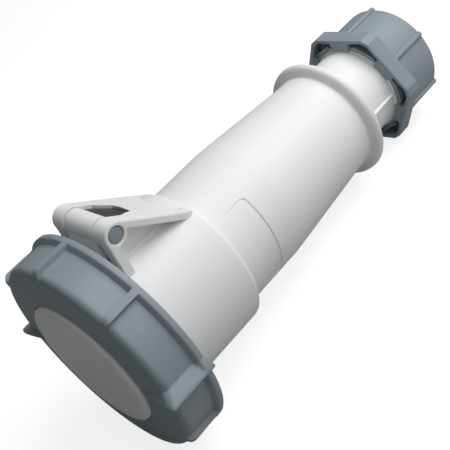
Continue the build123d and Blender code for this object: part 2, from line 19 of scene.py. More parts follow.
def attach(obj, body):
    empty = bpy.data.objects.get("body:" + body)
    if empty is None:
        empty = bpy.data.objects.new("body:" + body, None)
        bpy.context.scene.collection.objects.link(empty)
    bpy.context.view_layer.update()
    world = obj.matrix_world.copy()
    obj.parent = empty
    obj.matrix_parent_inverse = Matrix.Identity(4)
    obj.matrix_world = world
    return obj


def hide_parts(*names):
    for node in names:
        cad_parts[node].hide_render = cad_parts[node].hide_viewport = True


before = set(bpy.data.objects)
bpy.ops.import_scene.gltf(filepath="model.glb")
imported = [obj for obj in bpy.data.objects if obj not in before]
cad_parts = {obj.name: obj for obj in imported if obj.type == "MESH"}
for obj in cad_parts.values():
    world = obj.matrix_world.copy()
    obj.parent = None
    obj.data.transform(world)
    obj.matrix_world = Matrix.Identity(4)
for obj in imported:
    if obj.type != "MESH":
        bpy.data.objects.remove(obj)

LOG = logging.getLogger("connector")
MM = 0.001

Point = tuple[float, float]
Place = tuple[float, float, float]
Shape = tuple[Point, ...]
Piece = bpy.types.Object
Socket = bpy.types.NodeSocket


def ramp(value: float, start: float, end: float) -> float:
    """Rise smoothly from 0 to 1 between two values."""
    share = min(max((value - start) / (end - start), 0.0), 1.0)
    return share * share * (3.0 - 2.0 * share)


def apart(angle: float, mark: float) -> float:
    """Return the signed difference of two angles, from -180 to 180 degrees."""
    return (angle - mark + 180.0) % 360.0 - 180.0


def near_marks(angle: float, marks: Sequence[float], full: float, gone: float) -> float:
    """Return how near an angle is to the nearest of some marks.

    Args:
        angle: the angle round the axis.
        marks: the marked angles.
        full: up to this far from a mark the answer is 1.
        gone: from this far on it is 0.

    Returns:
        A share from 0 to 1.
    """
    return max(1.0 - ramp(abs(apart(angle, mark)), full, gone) for mark in marks)


def read_shape(shape: Shape, place: float) -> float:
    """Read a height off a table of (place, height) points; beyond its ends it is 0.

    Args:
        shape: the table, in rising order.
        place: where to read it.

    Returns:
        The height.
    """
    for (low, low_height), (high, high_height) in zip(shape, shape[1:]):
        if low <= place <= high:
            return low_height + (high_height - low_height) * (place - low) / (high - low)
    return 0.0


def between(low: Point, high: Point, share: float) -> Point:
    """Mix two points."""
    return (low[0] + (high[0] - low[0]) * share, low[1] + (high[1] - low[1]) * share)


def shifted(x: float, radius: float, steps: Shape) -> list[Point]:
    """Move a table of small (x, radius) steps to a corner of an outline."""
    return [(x + step_x, radius + step_r) for step_x, step_r in steps]


def put(name: str, data: bpy.types.ID) -> Piece:
    """Link a new object for some data at the origin.

    Args:
        name: the object's name.
        data: its mesh, lamp or camera.

    Returns:
        The object.
    """
    piece = bpy.data.objects.new(name, data)
    bpy.context.collection.objects.link(piece)
    return piece


class NodeKit:
    """Adds and links nodes in one tree with short calls."""

    SPACING: ClassVar[tuple[int, int]] = (190, 120)
    ROWS: ClassVar[int] = 4
    INPUT_MARK: ClassVar[str] = "in_"

    def __init__(self, tree: bpy.types.NodeTree) -> None:
        """Keep the tree.

        Args:
            tree: the shader or geometry tree to fill.
        """
        self.tree = tree
        self.column = 0

    @classmethod
    def cleared(cls, owner: bpy.types.Material | bpy.types.World) -> "NodeKit":
        """Empty the nodes of a material or a world.

        Args:
            owner: the material or the world.

        Returns:
            A kit for its tree.
        """
        owner.use_nodes = True
        owner.node_tree.nodes.clear()
        return cls(owner.node_tree)

    @staticmethod
    def sockets(tree: bpy.types.NodeTree, way: str, kind: str,
                rows: Sequence[tuple[str, float | None]]) -> None:
        """Add sockets of one kind to a group.

        Args:
            tree: the group.
            way: "INPUT" or "OUTPUT".
            kind: the end of the socket's type name.
            rows: each socket's name and its value, or None to leave the value.
        """
        for name, value in rows:
            socket = tree.interface.new_socket(name=name, in_out=way,
                                               socket_type="NodeSocket" + kind)
            if value is not None:
                socket.default_value = value

    def add(self, kind: str, **values: object) -> bpy.types.Node:
        """Add a node, then set its properties and unlinked inputs.

        Args:
            kind: the node's type name.
            values: properties by name, or inputs by name with a leading "in_".

        Returns:
            The new node.
        """
        node = self.tree.nodes.new(kind)
        across, down = self.SPACING
        node.location = (self.column * across, -(self.column % self.ROWS) * down)
        self.column += 1
        for name, value in values.items():
            if name.startswith(self.INPUT_MARK):
                key = name.removeprefix(self.INPUT_MARK).replace("_", " ")
                node.inputs[key].default_value = value
            else:
                setattr(node, name, value)
        return node

    def link(self, start: Socket, end: Socket) -> None:
        """Join two sockets."""
        self.tree.links.new(start, end)

    def math(self, operation: str, *values: Socket | float) -> Socket:
        """Add a math node.

        Args:
            operation: the math operation.
            values: a socket or a number for each of its inputs, in order.

        Returns:
            The result socket.
        """
        node = self.add("ShaderNodeMath", operation=operation)
        for place, value in enumerate(values):
            if isinstance(value, Socket):
                self.link(value, node.inputs[place])
            else:
                node.inputs[place].default_value = value
        return node.outputs[0]


class SurfaceEffects:
    """Shader groups shared by the connector's materials."""

    GRAIN_INPUTS: ClassVar = (("Grain Scale", 900.0), ("Drift Scale", 14.0), ("Drift Amount", 0.04))
    GRAIN_RESULTS: ClassVar = (("Height", None), ("Tone", None), ("Gloss Drift", None))
    DUST_INPUTS: ClassVar = (("Amount", 0.08), ("Speck Scale", 260.0))
    PIT_SCALE: ClassVar[float] = 0.7
    PIT_DEPTH: ClassVar[float] = 0.6
    MIDDLE_TONE: ClassVar[float] = 0.5
    GLOSS_SHARE: ClassVar[float] = 0.35
    SPECK_EDGES: ClassVar[Point] = (0.52, 0.78)

    @classmethod
    def moulded_grain(cls) -> bpy.types.NodeTree:
        """Fine spark-eroded mould texture with a slow drift of tone.

        Returns:
            The shader group.
        """
        group = bpy.data.node_groups.new("moulded_grain", "ShaderNodeTree")
        NodeKit.sockets(group, "INPUT", "Float", cls.GRAIN_INPUTS)
        NodeKit.sockets(group, "OUTPUT", "Float", cls.GRAIN_RESULTS)
        kit = NodeKit(group)
        inputs = kit.add("NodeGroupInput").outputs
        results = kit.add("NodeGroupOutput").inputs
        place = kit.add("ShaderNodeTexCoord")
        grain = kit.add("ShaderNodeTexNoise", in_Detail=3.0, in_Roughness=0.55)
        pits = kit.add("ShaderNodeTexVoronoi", feature="SMOOTH_F1")
        drift = kit.add("ShaderNodeTexNoise", in_Detail=2.0, in_Roughness=0.5)
        for node in (grain, pits, drift):
            kit.link(place.outputs["Object"], node.inputs["Vector"])
        kit.link(inputs["Grain Scale"], grain.inputs["Scale"])
        kit.link(kit.math("MULTIPLY", inputs["Grain Scale"], cls.PIT_SCALE), pits.inputs["Scale"])
        kit.link(inputs["Drift Scale"], drift.inputs["Scale"])
        height = kit.math("MULTIPLY_ADD", pits.outputs["Distance"], cls.PIT_DEPTH,
                          grain.outputs["Fac"])
        kit.link(height, results["Height"])
        centred = kit.math("SUBTRACT", drift.outputs["Fac"], cls.MIDDLE_TONE)
        scaled = kit.math("MULTIPLY", centred, inputs["Drift Amount"])
        kit.link(kit.math("ADD", scaled, 1.0), results["Tone"])
        kit.link(kit.math("MULTIPLY", centred, cls.GLOSS_SHARE), results["Gloss Drift"])
        return group

    @classmethod
    def handling_dust(cls) -> bpy.types.NodeTree:
        """A thin, even scatter of settled dust.

        Returns:
            The shader group.
        """
        group = bpy.data.node_groups.new("handling_dust", "ShaderNodeTree")
        NodeKit.sockets(group, "INPUT", "Float", cls.DUST_INPUTS)
        NodeKit.sockets(group, "OUTPUT", "Float", (("Mask", None),))
        kit = NodeKit(group)
        inputs = kit.add("NodeGroupInput").outputs
        results = kit.add("NodeGroupOutput").inputs
        place = kit.add("ShaderNodeTexCoord")
        specks = kit.add("ShaderNodeTexNoise", in_Detail=4.0, in_Roughness=0.7)
        kit.link(place.outputs["Object"], specks.inputs["Vector"])
        kit.link(inputs["Speck Scale"], specks.inputs["Scale"])
        low, high = cls.SPECK_EDGES
        edges = kit.add("ShaderNodeMapRange", clamp=True, in_From_Min=low, in_From_Max=high)
        kit.link(specks.outputs["Fac"], edges.inputs["Value"])
        kit.link(kit.math("MULTIPLY", edges.outputs["Result"], inputs["Amount"]), results["Mask"])
        return group


class Coating:
    """Steps that the plastic and the metal finishes share."""

    @staticmethod
    def begin(name: str,
              **values: object) -> tuple[bpy.types.Material, NodeKit, bpy.types.Node]:
        """Make a material with one principled shader.

        Args:
            name: the material's name.
            values: the shader's inputs, as NodeKit.add takes them.

        Returns:
            The material, a kit for its tree and the shader.
        """
        material = bpy.data.materials.new(name)
        kit = NodeKit.cleared(material)
        shader = kit.add("ShaderNodeBsdfPrincipled", **values)
        output = kit.add("ShaderNodeOutputMaterial")
        kit.link(shader.outputs[0], output.inputs["Surface"])
        return material, kit, shader

    @staticmethod
    def tone(kit: NodeKit, colour: Place, skin: bpy.types.Node) -> Socket:
        """Multiply a colour by the grain group's slow drift of tone.

        Args:
            colour: the finish's colour.
            skin: the grain group's node.

        Returns:
            The toned colour's socket.
        """
        toned = kit.add("ShaderNodeMix", data_type="RGBA", blend_type="MULTIPLY",
                        in_Factor=1.0, in_A=(*colour, 1.0))
        kit.link(skin.outputs["Tone"], toned.inputs["B"])
        return toned.outputs["Result"]

    @staticmethod
    def relief(kit: NodeKit, shader: bpy.types.Node, height: Socket, strength: float,
               depth: float) -> None:
        """Let a height bend the shader's normals.

        Args:
            shader: the shader.
            height: the height's socket.
            strength: the share of the relief that shows.
            depth: the depth of the relief, in metres.
        """
        bump = kit.add("ShaderNodeBump", in_Strength=strength, in_Distance=depth)
        kit.link(height, bump.inputs["Height"])
        kit.link(bump.outputs["Normal"], shader.inputs["Normal"])


@dataclass(frozen=True)
class Moulded(Coating):
    """A moulded plastic or rubber finish; the grain's depth is in metres."""

    DUST_COLOUR: ClassVar[tuple[float, ...]] = (0.55, 0.54, 0.51, 1.0)
    GRAIN_STRENGTH: ClassVar[float] = 0.35

    name: str
    colour: Place
    roughness: float
    grain_scale: float
    grain_depth: float
    drift: float
    dust: float
    specular: float = 0.5

    def build(self, grain: bpy.types.NodeTree, dust: bpy.types.NodeTree) -> bpy.types.Material:
        """Make the material.

        Args:
            grain: the moulded grain group.
            dust: the dust group.

        Returns:
            The material.
        """
        material, kit, shader = self.begin(self.name, in_Specular_IOR_Level=self.specular)
        skin = kit.add("ShaderNodeGroup", node_tree=grain, in_Grain_Scale=self.grain_scale,
                       in_Drift_Amount=self.drift)
        film = kit.add("ShaderNodeGroup", node_tree=dust, in_Amount=self.dust)
        dusted = kit.add("ShaderNodeMix", data_type="RGBA", in_B=self.DUST_COLOUR)
        kit.link(self.tone(kit, self.colour, skin), dusted.inputs["A"])
        kit.link(film.outputs["Mask"], dusted.inputs["Factor"])
        kit.link(dusted.outputs["Result"], shader.inputs["Base Color"])
        rough = kit.math("ADD", skin.outputs["Gloss Drift"], self.roughness)
        kit.link(kit.math("ADD", rough, film.outputs["Mask"]), shader.inputs["Roughness"])
        self.relief(kit, shader, skin.outputs["Height"], self.GRAIN_STRENGTH, self.grain_depth)
        return material


@dataclass(frozen=True)
class TurnedMetal(Coating):
    """A turned or plated metal finish with faint lathe lines along X."""

    DRIFT: ClassVar[float] = 0.18
    DUST: ClassVar[float] = 0.05
    LINE_ROUGHNESS: ClassVar[float] = 0.12
    LINE_STRENGTH: ClassVar[float] = 0.2
    LINE_DEPTH: ClassVar[float] = 0.00005

    name: str
    colour: Place
    roughness: float
    lines: float

    def build(self, grain: bpy.types.NodeTree, dust: bpy.types.NodeTree) -> bpy.types.Material:
        """Make the material.

        Args:
            grain: the grain group, for the slow drift of tone.
            dust: the dust group.

        Returns:
            The material.
        """
        material, kit, shader = self.begin(self.name, in_Metallic=1.0)
        place = kit.add("ShaderNodeTexCoord")
        wave = kit.add("ShaderNodeTexWave", wave_type="BANDS", bands_direction="X",
                       in_Distortion=1.5, in_Detail=2.0, in_Scale=self.lines)
        kit.link(place.outputs["Object"], wave.inputs["Vector"])
        skin = kit.add("ShaderNodeGroup", node_tree=grain, in_Drift_Amount=self.DRIFT)
        film = kit.add("ShaderNodeGroup", node_tree=dust, in_Amount=self.DUST)
        kit.link(self.tone(kit, self.colour, skin), shader.inputs["Base Color"])
        rough = kit.math("MULTIPLY_ADD", wave.outputs["Fac"], self.LINE_ROUGHNESS, self.roughness)
        kit.link(kit.math("ADD", rough, film.outputs["Mask"]), shader.inputs["Roughness"])
        self.relief(kit, shader, wave.outputs["Fac"], self.LINE_STRENGTH, self.LINE_DEPTH)
        return material


class Finish(Enum):
    """The connector's finishes."""

    WHITE = Moulded("white_shell_plastic", (0.86, 0.875, 0.86), roughness=0.46,
                    grain_scale=1500.0, grain_depth=0.00006, drift=0.03, dust=0.03)
    BLUE_GREY = Moulded("blue_grey_ring_plastic", (0.262, 0.312, 0.345), roughness=0.44,
                        grain_scale=1500.0, grain_depth=0.00007, drift=0.06, dust=0.04)
    # DARK is the carrier's own colour and also colours the window's sheet of painted shade.
    DARK = Moulded("dark_carrier_plastic_and_painted_shade", (0.05, 0.05, 0.055), roughness=0.5,
                   grain_scale=1200.0, grain_depth=0.00008, drift=0.08, dust=0.04)
    BLACK = Moulded("black_gland_plastic", (0.035, 0.035, 0.04), roughness=0.55,
                    grain_scale=1200.0, grain_depth=0.00008, drift=0.08, dust=0.05)
    RUBBER = Moulded("black_seal_rubber", (0.022, 0.022, 0.023), roughness=0.72,
                     grain_scale=800.0, grain_depth=0.0001, drift=0.1, dust=0.1, specular=0.3)
    BRASS = TurnedMetal("turned_brass", (0.78, 0.58, 0.30), roughness=0.26, lines=900.0)
    STEEL = TurnedMetal("plated_steel", (0.60, 0.60, 0.61), roughness=0.3, lines=1400.0)


NODE_FINISH: dict[str, Finish] = {
    "lid": Finish.WHITE,
    "front_shell": Finish.WHITE,
    "rear_housing": Finish.WHITE,
    "bayonet_ring": Finish.BLUE_GREY,
    "ring_retainer": Finish.BLUE_GREY,
    "gland_nut": Finish.BLUE_GREY,
    "hinge_pin": Finish.BLUE_GREY,
    "contact_carrier": Finish.DARK,
    "clamp_cage": Finish.BLACK,
    "gland_washer": Finish.BLACK,
    "lid_seal": Finish.RUBBER,
    "socket_gasket": Finish.RUBBER,
    "housing_o_ring": Finish.RUBBER,
    "gland_seal": Finish.RUBBER,
}


class Workshop:
    """Holds the built materials and dresses pieces with them."""

    def __init__(self) -> None:
        """Build the shared groups and every finish once."""
        grain = SurfaceEffects.moulded_grain()
        dust = SurfaceEffects.handling_dust()
        self.materials = {finish: finish.value.build(grain, dust) for finish in Finish}

    def dress(self, piece: Piece, finish: Finish) -> None:
        """Give every slot of a piece one finish.

        Args:
            piece: the mesh object.
            finish: the finish to use.
        """
        if not piece.material_slots:
            piece.data.materials.append(self.materials[finish])
        for place in piece.material_slots:
            place.material = self.materials[finish]
        LOG.info("dressed %s in %s", piece.name, finish.name)

    def dress_frame(self) -> None:
        """Dress every CAD node."""
        for name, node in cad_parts.items():
            metal = Finish.BRASS if name.startswith("contact_") else Finish.STEEL
            self.dress(node, NODE_FINISH.get(name, metal))


class Solid:
    """Builds meshes for the connector's pieces."""

    CORNER_SHARE: ClassVar[float] = 0.45
    CLOSEST_COLUMNS: ClassVar[float] = 0.45
    ANGLE_DIGITS: ClassVar[int] = 4
    MERGE: ClassVar[float] = 0.004
    CAD_MERGE: ClassVar[float] = 0.01
    FLAT_WITHIN: ClassVar[float] = 1.2
    EASE_FROM: ClassVar[float] = 34.0
    EASE_STRIPS: ClassVar[int] = 2
    EASED_SHARP: ClassVar[float] = 38.0
    LARGE_FACE_WEIGHT: ClassVar[int] = 90

    @classmethod
    def soft_outline(cls, points: Sequence[Point], radius: float, steps: int) -> list[Point]:
        """Round the corners of an open outline.

        Args:
            points: the (x, radius) corners.
            radius: how far from a corner its rounding starts, at most.
            steps: the pieces in each rounding.

        Returns:
            The rounded outline, with as many points for every outline of as many corners.
        """
        rounded = [points[0]]
        for last, corner, following in zip(points, points[1:], points[2:]):
            middle = Vector(corner)
            before, after = Vector(last) - middle, Vector(following) - middle
            start = middle + before.normalized() * min(radius, before.length * cls.CORNER_SHARE)
            end = middle + after.normalized() * min(radius, after.length * cls.CORNER_SHARE)
            for step in range(steps + 1):
                share = step / steps
                point = (start * (1 - share) ** 2 + middle * 2 * share * (1 - share)
                         + end * share ** 2)
                rounded.append((point.x, point.y))
        return [*rounded, points[-1]]

    @classmethod
    def columns(cls, coarse: float, fine: float, marks: Sequence[Point]) -> list[float]:
        """Spread angles round the axis, closer together where the shape changes.

        Args:
            coarse: the spacing in degrees.
            fine: the spacing inside the marks.
            marks: (middle, half width) of each closely spaced stretch.

        Returns:
            Sorted angles from 0 to below 360.
        """
        angles = {round(coarse * step, cls.ANGLE_DIGITS) for step in range(int(360 / coarse))}
        for middle, half in marks:
            steps = int(2 * half / fine)
            angles |= {round((middle - half + 2 * half * step / steps) % 360.0, cls.ANGLE_DIGITS)
                       for step in range(steps + 1)}
        ordered = sorted(angles)
        kept = [ordered[0]]
        for angle in ordered[1:]:
            if angle - kept[-1] > fine * cls.CLOSEST_COLUMNS:
                kept.append(angle)
        return kept

    @staticmethod
    def join(body: bmesh.types.BMesh, loops: Sequence[Sequence[bmesh.types.BMVert]]) -> None:
        """Close a skin over loops of points that follow each other once round an axis.

        Args:
            body: the mesh under construction.
            loops: the loops, each with as many points.
        """
        for loop, following in zip(loops, [*loops[1:], loops[0]]):
            for row in range(len(loop)):
                below = (row + 1) % len(loop)
                body.faces.new((loop[row], following[row], following[below], loop[below]))

    @classmethod
    def skin(cls, name: str, angles: Sequence[float],
             outline: Callable[[float], Sequence[Point]], sharp: float) -> Piece:
        """Sweep a closed outline that may change with the angle round the axis.

        Args:
            name: the piece's name.
            angles: the columns' angles.
            outline: gives the (x, radius) loop at an angle.
            sharp: the angle above which an edge stays sharp.

        Returns:
            The closed mesh object.
        """
        body = bmesh.new()
        loops = []
        for angle in angles:
            turn = math.radians(angle)
            side, up = -math.sin(turn), math.cos(turn)
            loops.append([body.verts.new((x * MM, r * side * MM, r * up * MM))
                          for x, r in outline(angle)])
        cls.join(body, loops)
        return cls.finished(name, body, sharp)

    @classmethod
    def finished(cls, name: str, body: bmesh.types.BMesh, sharp: float,
                 flat: bool = False) -> Piece:
        """Merge, orient and smooth a mesh and link its object at the origin.

        Args:
            name: the piece's name.
            body: the mesh under construction, freed here.
            sharp: the angle above which an edge stays sharp.
            flat: whether the large faces decide the shading.

        Returns:
            The object.
        """
        bmesh.ops.remove_doubles(body, verts=body.verts, dist=cls.MERGE * MM)
        bmesh.ops.dissolve_degenerate(body, edges=body.edges, dist=cls.MERGE * 0.5 * MM)
        bmesh.ops.recalc_face_normals(body, faces=body.faces)
        mesh = bpy.data.meshes.new(name)
        body.to_mesh(mesh)
        body.free()
        mesh.shade_smooth()
        mesh.set_sharp_from_angle(angle=math.radians(sharp))
        piece = put(name, mesh)
        if flat:
            cls.weigh(piece)
        return piece

    @classmethod
    def weigh(cls, piece: Piece) -> None:
        """Let the large faces decide the shading, so that they look flat by their eased edges."""
        modifier = piece.modifiers.new("weigh", "WEIGHTED_NORMAL")
        modifier.keep_sharp = True
        modifier.weight = cls.LARGE_FACE_WEIGHT

    @classmethod
    def soften(cls, piece: Piece, width: float, limit: float) -> bpy.types.Modifier:
        """Break an object's edges that are sharper than a limit in degrees.

        Args:
            piece: the object.
            width: the width of the edge breaks.
            limit: the angle from which an edge is broken.

        Returns:
            The modifier.
        """
        ease = piece.modifiers.new("ease", "BEVEL")
        ease.width = width * MM
        ease.segments = cls.EASE_STRIPS
        ease.limit_method = "ANGLE"
        ease.angle_limit = math.radians(limit)
        return ease

    @staticmethod
    def plain(raw: Piece) -> bpy.types.Mesh:
        """Turn an object with its modifiers into one plain mesh, and remove the object.

        Args:
            raw: the object.

        Returns:
            The mesh.
        """
        seen = raw.evaluated_get(bpy.context.evaluated_depsgraph_get())
        mesh = bpy.data.meshes.new_from_object(seen)
        bpy.data.objects.remove(raw)
        return mesh

    @classmethod
    def eased(cls, name: str, node: str, width: float,
              tune: Callable[[Vector], None] | None = None) -> Piece:
        """Copy a CAD node's mesh and break its sharp edges.

        Args:
            name: the piece's name.
            node: the CAD node to copy.
            width: the width of the edge breaks.
            tune: moves a point that is given in metres, or None for no move.

        Returns:
            The object, smooth between its eased edges.
        """
        body = bmesh.new()
        body.from_mesh(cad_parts[node].data)
        bmesh.ops.remove_doubles(body, verts=body.verts, dist=cls.CAD_MERGE * MM)
        bmesh.ops.dissolve_degenerate(body, edges=body.edges, dist=cls.CAD_MERGE * 0.5 * MM)
        bmesh.ops.dissolve_limit(body, angle_limit=math.radians(cls.FLAT_WITHIN),
                                 verts=body.verts, edges=body.edges, delimit={"NORMAL"})
        if tune is not None:
            for point in body.verts:
                tune(point.co)
        mesh = bpy.data.meshes.new(name + "_raw")
        body.to_mesh(mesh)
        body.free()
        raw = put(name + "_raw", mesh)
        cls.soften(raw, width, cls.EASE_FROM).miter_outer = "MITER_ARC"
        smooth = cls.plain(raw)
        smooth.name = name
        smooth.shade_smooth()
        smooth.set_sharp_from_angle(angle=math.radians(cls.EASED_SHARP))
        piece = put(name, smooth)
        cls.weigh(piece)
        return piece


@dataclass
class BayonetRing:
    """The turning ring: pockets between soft ribs, two finger wings and two inner cams."""

    hole_x: float = 1.4
    hole_r: float = 39.6
    hole_break: Shape = ((0.5, 0.0), (0.15, 0.12), (0.02, 0.5))
    face_radii: tuple[float, ...] = (41.0, 42.5, 44.0, 46.0, 48.0, 50.0, 52.0, 54.0, 56.0, 57.4)
    front_x: float = 3.0
    edge: float = 3.8
    edge_steps: int = 8
    floor_r: float = 61.3
    floor_places: tuple[float, ...] = (9.0, 14.0, 19.0, 21.4)
    wall_foot_x: float = 22.1
    wall_top_x: float = 24.1
    # (share of the wall's length, share of its height)
    wall_shape: Shape = ((0.0, 0.05), (0.18, 0.22), (0.5, 0.5), (0.8, 0.84), (1.0, 0.97),
                         (1.25, 1.0))
    rim_r: float = 64.2
    # (x, how far the rim has dropped there)
    rim_end: Shape = ((26.2, 0.0), (26.9, 0.12), (27.3, 0.42), (27.5, 0.9))
    rear_x: float = 27.5
    rear_radii: tuple[float, float] = (60.5, 58.0)
    web_x: float = 6.0
    bore_r: float = 53.3
    bore_break: Shape = ((0.0, 0.5), (-0.15, 0.15), (-0.5, 0.0))
    ease: float = 0.3
    rib_half: float = 2.1
    rib_flank: Point = (0.55, 0.1)
    ribs: tuple[float, ...] = (-48.5, 0.6, 42.5, 124.0)
    wings: tuple[float, float] = (88.9, 268.9)
    wing_r: float = 67.0
    wing_taper: float = 22.5
    wing_least: float = 0.05
    wing_front_x: float = -0.88
    wing_face_in: float = 0.25
    wing_edge: Point = (1.9, 4.2)
    wing_edge_fullness: float = 0.8
    wing_crest_rise: float = 0.02
    wing_rear_x: float = 28.68
    wing_rear_squeeze: Point = (0.8, 0.6)
    wing_rear_in: float = 0.03
    wing_foot: Shape = ((28.68, 62.0), (27.7, 58.4))
    # (arc length from the steep side, share of the wing's height)
    wing_shape: Shape = (
        (-7.9, 0.0), (-7.5, 0.03), (-7.1, 0.1), (-6.6, 0.2), (-6.0, 0.31), (-5.2, 0.44),
        (-4.4, 0.57), (-3.6, 0.7), (-2.9, 0.82), (-2.3, 0.91), (-1.8, 0.96), (-1.4, 0.99),
        (-0.9, 1.0), (-0.45, 0.96), (-0.1, 0.84), (0.1, 0.6), (0.2, 0.0),
    )
    lock_turn: float = 30.0
    cam_r: float = 46.0
    cam_x: Point = (22.3, 25.9)
    cam_half: float = 9.0
    cam_flank: float = 0.35
    cam_edge: float = 0.08
    cam_foot: float = 0.02
    column_spacing: Point = (1.5, 0.16)
    rib_margin: float = 0.3
    wing_stretch: Point = (-4.6, 5.2)
    cam_stretch: float = 0.5
    sharp: float = 40.0

    def wing_share(self, angle: float, radius: float) -> float:
        """Return the height of the wing at an angle, narrower towards the ring's hole.

        Args:
            angle: the angle round the axis.
            radius: the distance from the axis.

        Returns:
            A share of the wing's full height.
        """
        narrow = min(max((radius - self.hole_r) / self.wing_taper, self.wing_least), 1.0)
        steep = self.wing_shape[-1][0]
        arcs = [math.radians(apart(angle, wing)) * self.wing_r for wing in self.wings]
        return max(read_shape(self.wing_shape, (arc - steep) / narrow + steep) for arc in arcs)

    def face_rows(self, angle: float) -> list[Point]:
        """Return the slightly conical front face, from the hole outwards.

        Args:
            angle: the angle round the axis.

        Returns:
            The (x, radius) points.
        """
        rows = shifted(self.hole_x, self.hole_r, self.hole_break)
        crest_in = self.wing_front_x + self.wing_face_in
        for radius in self.face_radii:
            outwards = (radius - self.hole_r) / (self.face_radii[-1] - self.hole_r)
            face_x = self.hole_x + (self.front_x - self.hole_x) * outwards
            crest_x = self.hole_x + (crest_in - self.hole_x) * outwards
            rows.append((face_x + (crest_x - face_x) * self.wing_share(angle, radius), radius))
        return rows

    def side_rows(self, top: float, wing: float) -> list[Point]:
        """Return the front edge, the pocket's floor, its rear wall and the rim.

        Args:
            top: the radius of the floor or the rib.
            wing: the share of the wing's height.

        Returns:
            The (x, radius) points.
        """
        rows = []
        wing_depth, wing_height = self.wing_edge
        for step in range(self.edge_steps + 1):
            swing = math.radians(90.0 * step / self.edge_steps)
            ahead, rise = 1 - math.cos(swing), math.sin(swing)
            plain = (self.front_x + self.edge * ahead, top - self.edge * (1 - rise))
            tall = (self.wing_front_x + wing_depth * ahead,
                    self.wing_r - wing_height + wing_height * rise ** self.wing_edge_fullness)
            rows.append(between(plain, tall, wing))
        rows += [between((x, top), (x, self.wing_r), wing) for x in self.floor_places]
        for share, lift in self.wall_shape:
            x = self.wall_foot_x + (self.wall_top_x - self.wall_foot_x) * share
            rows.append(between((x, top + (self.rim_r - top) * lift),
                                (x, self.wing_r + self.wing_crest_rise), wing))
        squeeze, sink = self.wing_rear_squeeze
        for x, drop in self.rim_end:
            tall = (self.wing_rear_x - (self.rear_x - x) * squeeze,
                    self.wing_r - self.wing_rear_in - drop * sink)
            rows.append(between((x, self.rim_r - drop), tall, wing))
        return rows

    def bore_rows(self, angle: float) -> list[Point]:
        """Return the bore with its cam and the back of the web, from the rear forwards.

        Args:
            angle: the angle round the axis.

        Returns:
            The (x, radius) points.
        """
        cam = near_marks(angle, [wing + self.lock_turn for wing in self.wings],
                         self.cam_half - self.cam_flank, self.cam_half)
        low, high = self.cam_x
        tip = self.bore_r + (self.cam_r - self.bore_r) * cam
        near_tip = tip + (self.bore_r - tip) * self.cam_edge
        return [
            *shifted(self.rear_x, self.bore_r, self.bore_break),
            (high + self.cam_foot, self.bore_r), (high, near_tip), (high - self.ease * cam, tip),
            (low + self.ease * cam, tip), (low, near_tip), (low - self.cam_foot, self.bore_r),
            (self.web_x + self.ease, self.bore_r), (self.web_x, self.bore_r - self.ease),
            (self.web_x, self.hole_r + self.ease), (self.web_x - self.ease, self.hole_r),
        ]

    def outline(self, angle: float) -> list[Point]:
        """Return the ring's (x, radius) loop at an angle.

        Args:
            angle: the angle round the axis.

        Returns:
            The (x, radius) points.
        """
        inner, outer = self.rib_flank
        rib = near_marks(angle, self.ribs, self.rib_half - inner, self.rib_half + outer)
        top = self.floor_r + (self.rim_r - self.floor_r) * rib
        wing = self.wing_share(angle, self.wing_r)
        rear = [between((self.rear_x, radius), foot, wing)
                for radius, foot in zip(self.rear_radii, self.wing_foot)]
        return [*self.face_rows(angle), *self.side_rows(top, wing), *rear, *self.bore_rows(angle)]

    def build(self, workshop: Workshop) -> list[Piece]:
        """Make the ring, dress it and let it stand for its CAD node.

        Args:
            workshop: gives the finish.

        Returns:
            The ring.
        """
        ahead, half = self.wing_stretch
        marks = [(rib, self.rib_half + self.rib_margin) for rib in self.ribs]
        marks += [(wing + ahead, half) for wing in self.wings]
        marks += [(wing + self.lock_turn + side * self.cam_half, self.cam_stretch)
                  for wing in self.wings for side in (-1, 1)]
        columns = Solid.columns(*self.column_spacing, marks)
        piece = Solid.skin("ring_body", columns, self.outline, self.sharp)
        workshop.dress(piece, Finish.BLUE_GREY)
        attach(piece, "ring")
        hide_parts("bayonet_ring")
        return [piece]


@dataclass
class LidCap:
    """The lid's proud disc with its rounded rim and a shallow plain dish."""

    face_x: float = -0.86
    back_x: float = 3.1
    rim_r: float = 39.2
    # (x behind the face, step from the rim)
    rim_shape: Shape = ((0.0, -3.4), (0.5, -1.2), (1.3, -0.3), (2.2, 0.0))
    dish_r: float = 27.0
    dish_slope: Point = (1.0, 0.4)
    dish_depth: float = 0.35
    rounding: float = 1.2
    rounding_steps: int = 4
    column_spacing: float = 2.0
    sharp: float = 60.0

    def outline(self, angle: float) -> list[Point]:
        """Return the cap's (x, radius) loop, the same at every angle.

        Args:
            angle: the angle round the axis; not used.

        Returns:
            The (x, radius) points.
        """
        floor_x = self.face_x + self.dish_depth
        inner, outer = self.dish_slope
        corners = [
            (floor_x, 0.0), (floor_x, self.dish_r - inner), (self.face_x, self.dish_r + outer),
            *shifted(self.face_x, self.rim_r, self.rim_shape),
            (self.back_x, self.rim_r), (self.back_x, 0.0),
        ]
        return Solid.soft_outline(corners, self.rounding, self.rounding_steps)

    def build(self, workshop: Workshop) -> list[Piece]:
        """Make the cap, dress it and let it ride on the lid.

        Args:
            workshop: gives the finish.

        Returns:
            The cap.
        """
        columns = Solid.columns(self.column_spacing, self.column_spacing, [])
        piece = Solid.skin("lid_cap", columns, self.outline, self.sharp)
        workshop.dress(piece, Finish.WHITE)
        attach(piece, "lid")
        return [piece]


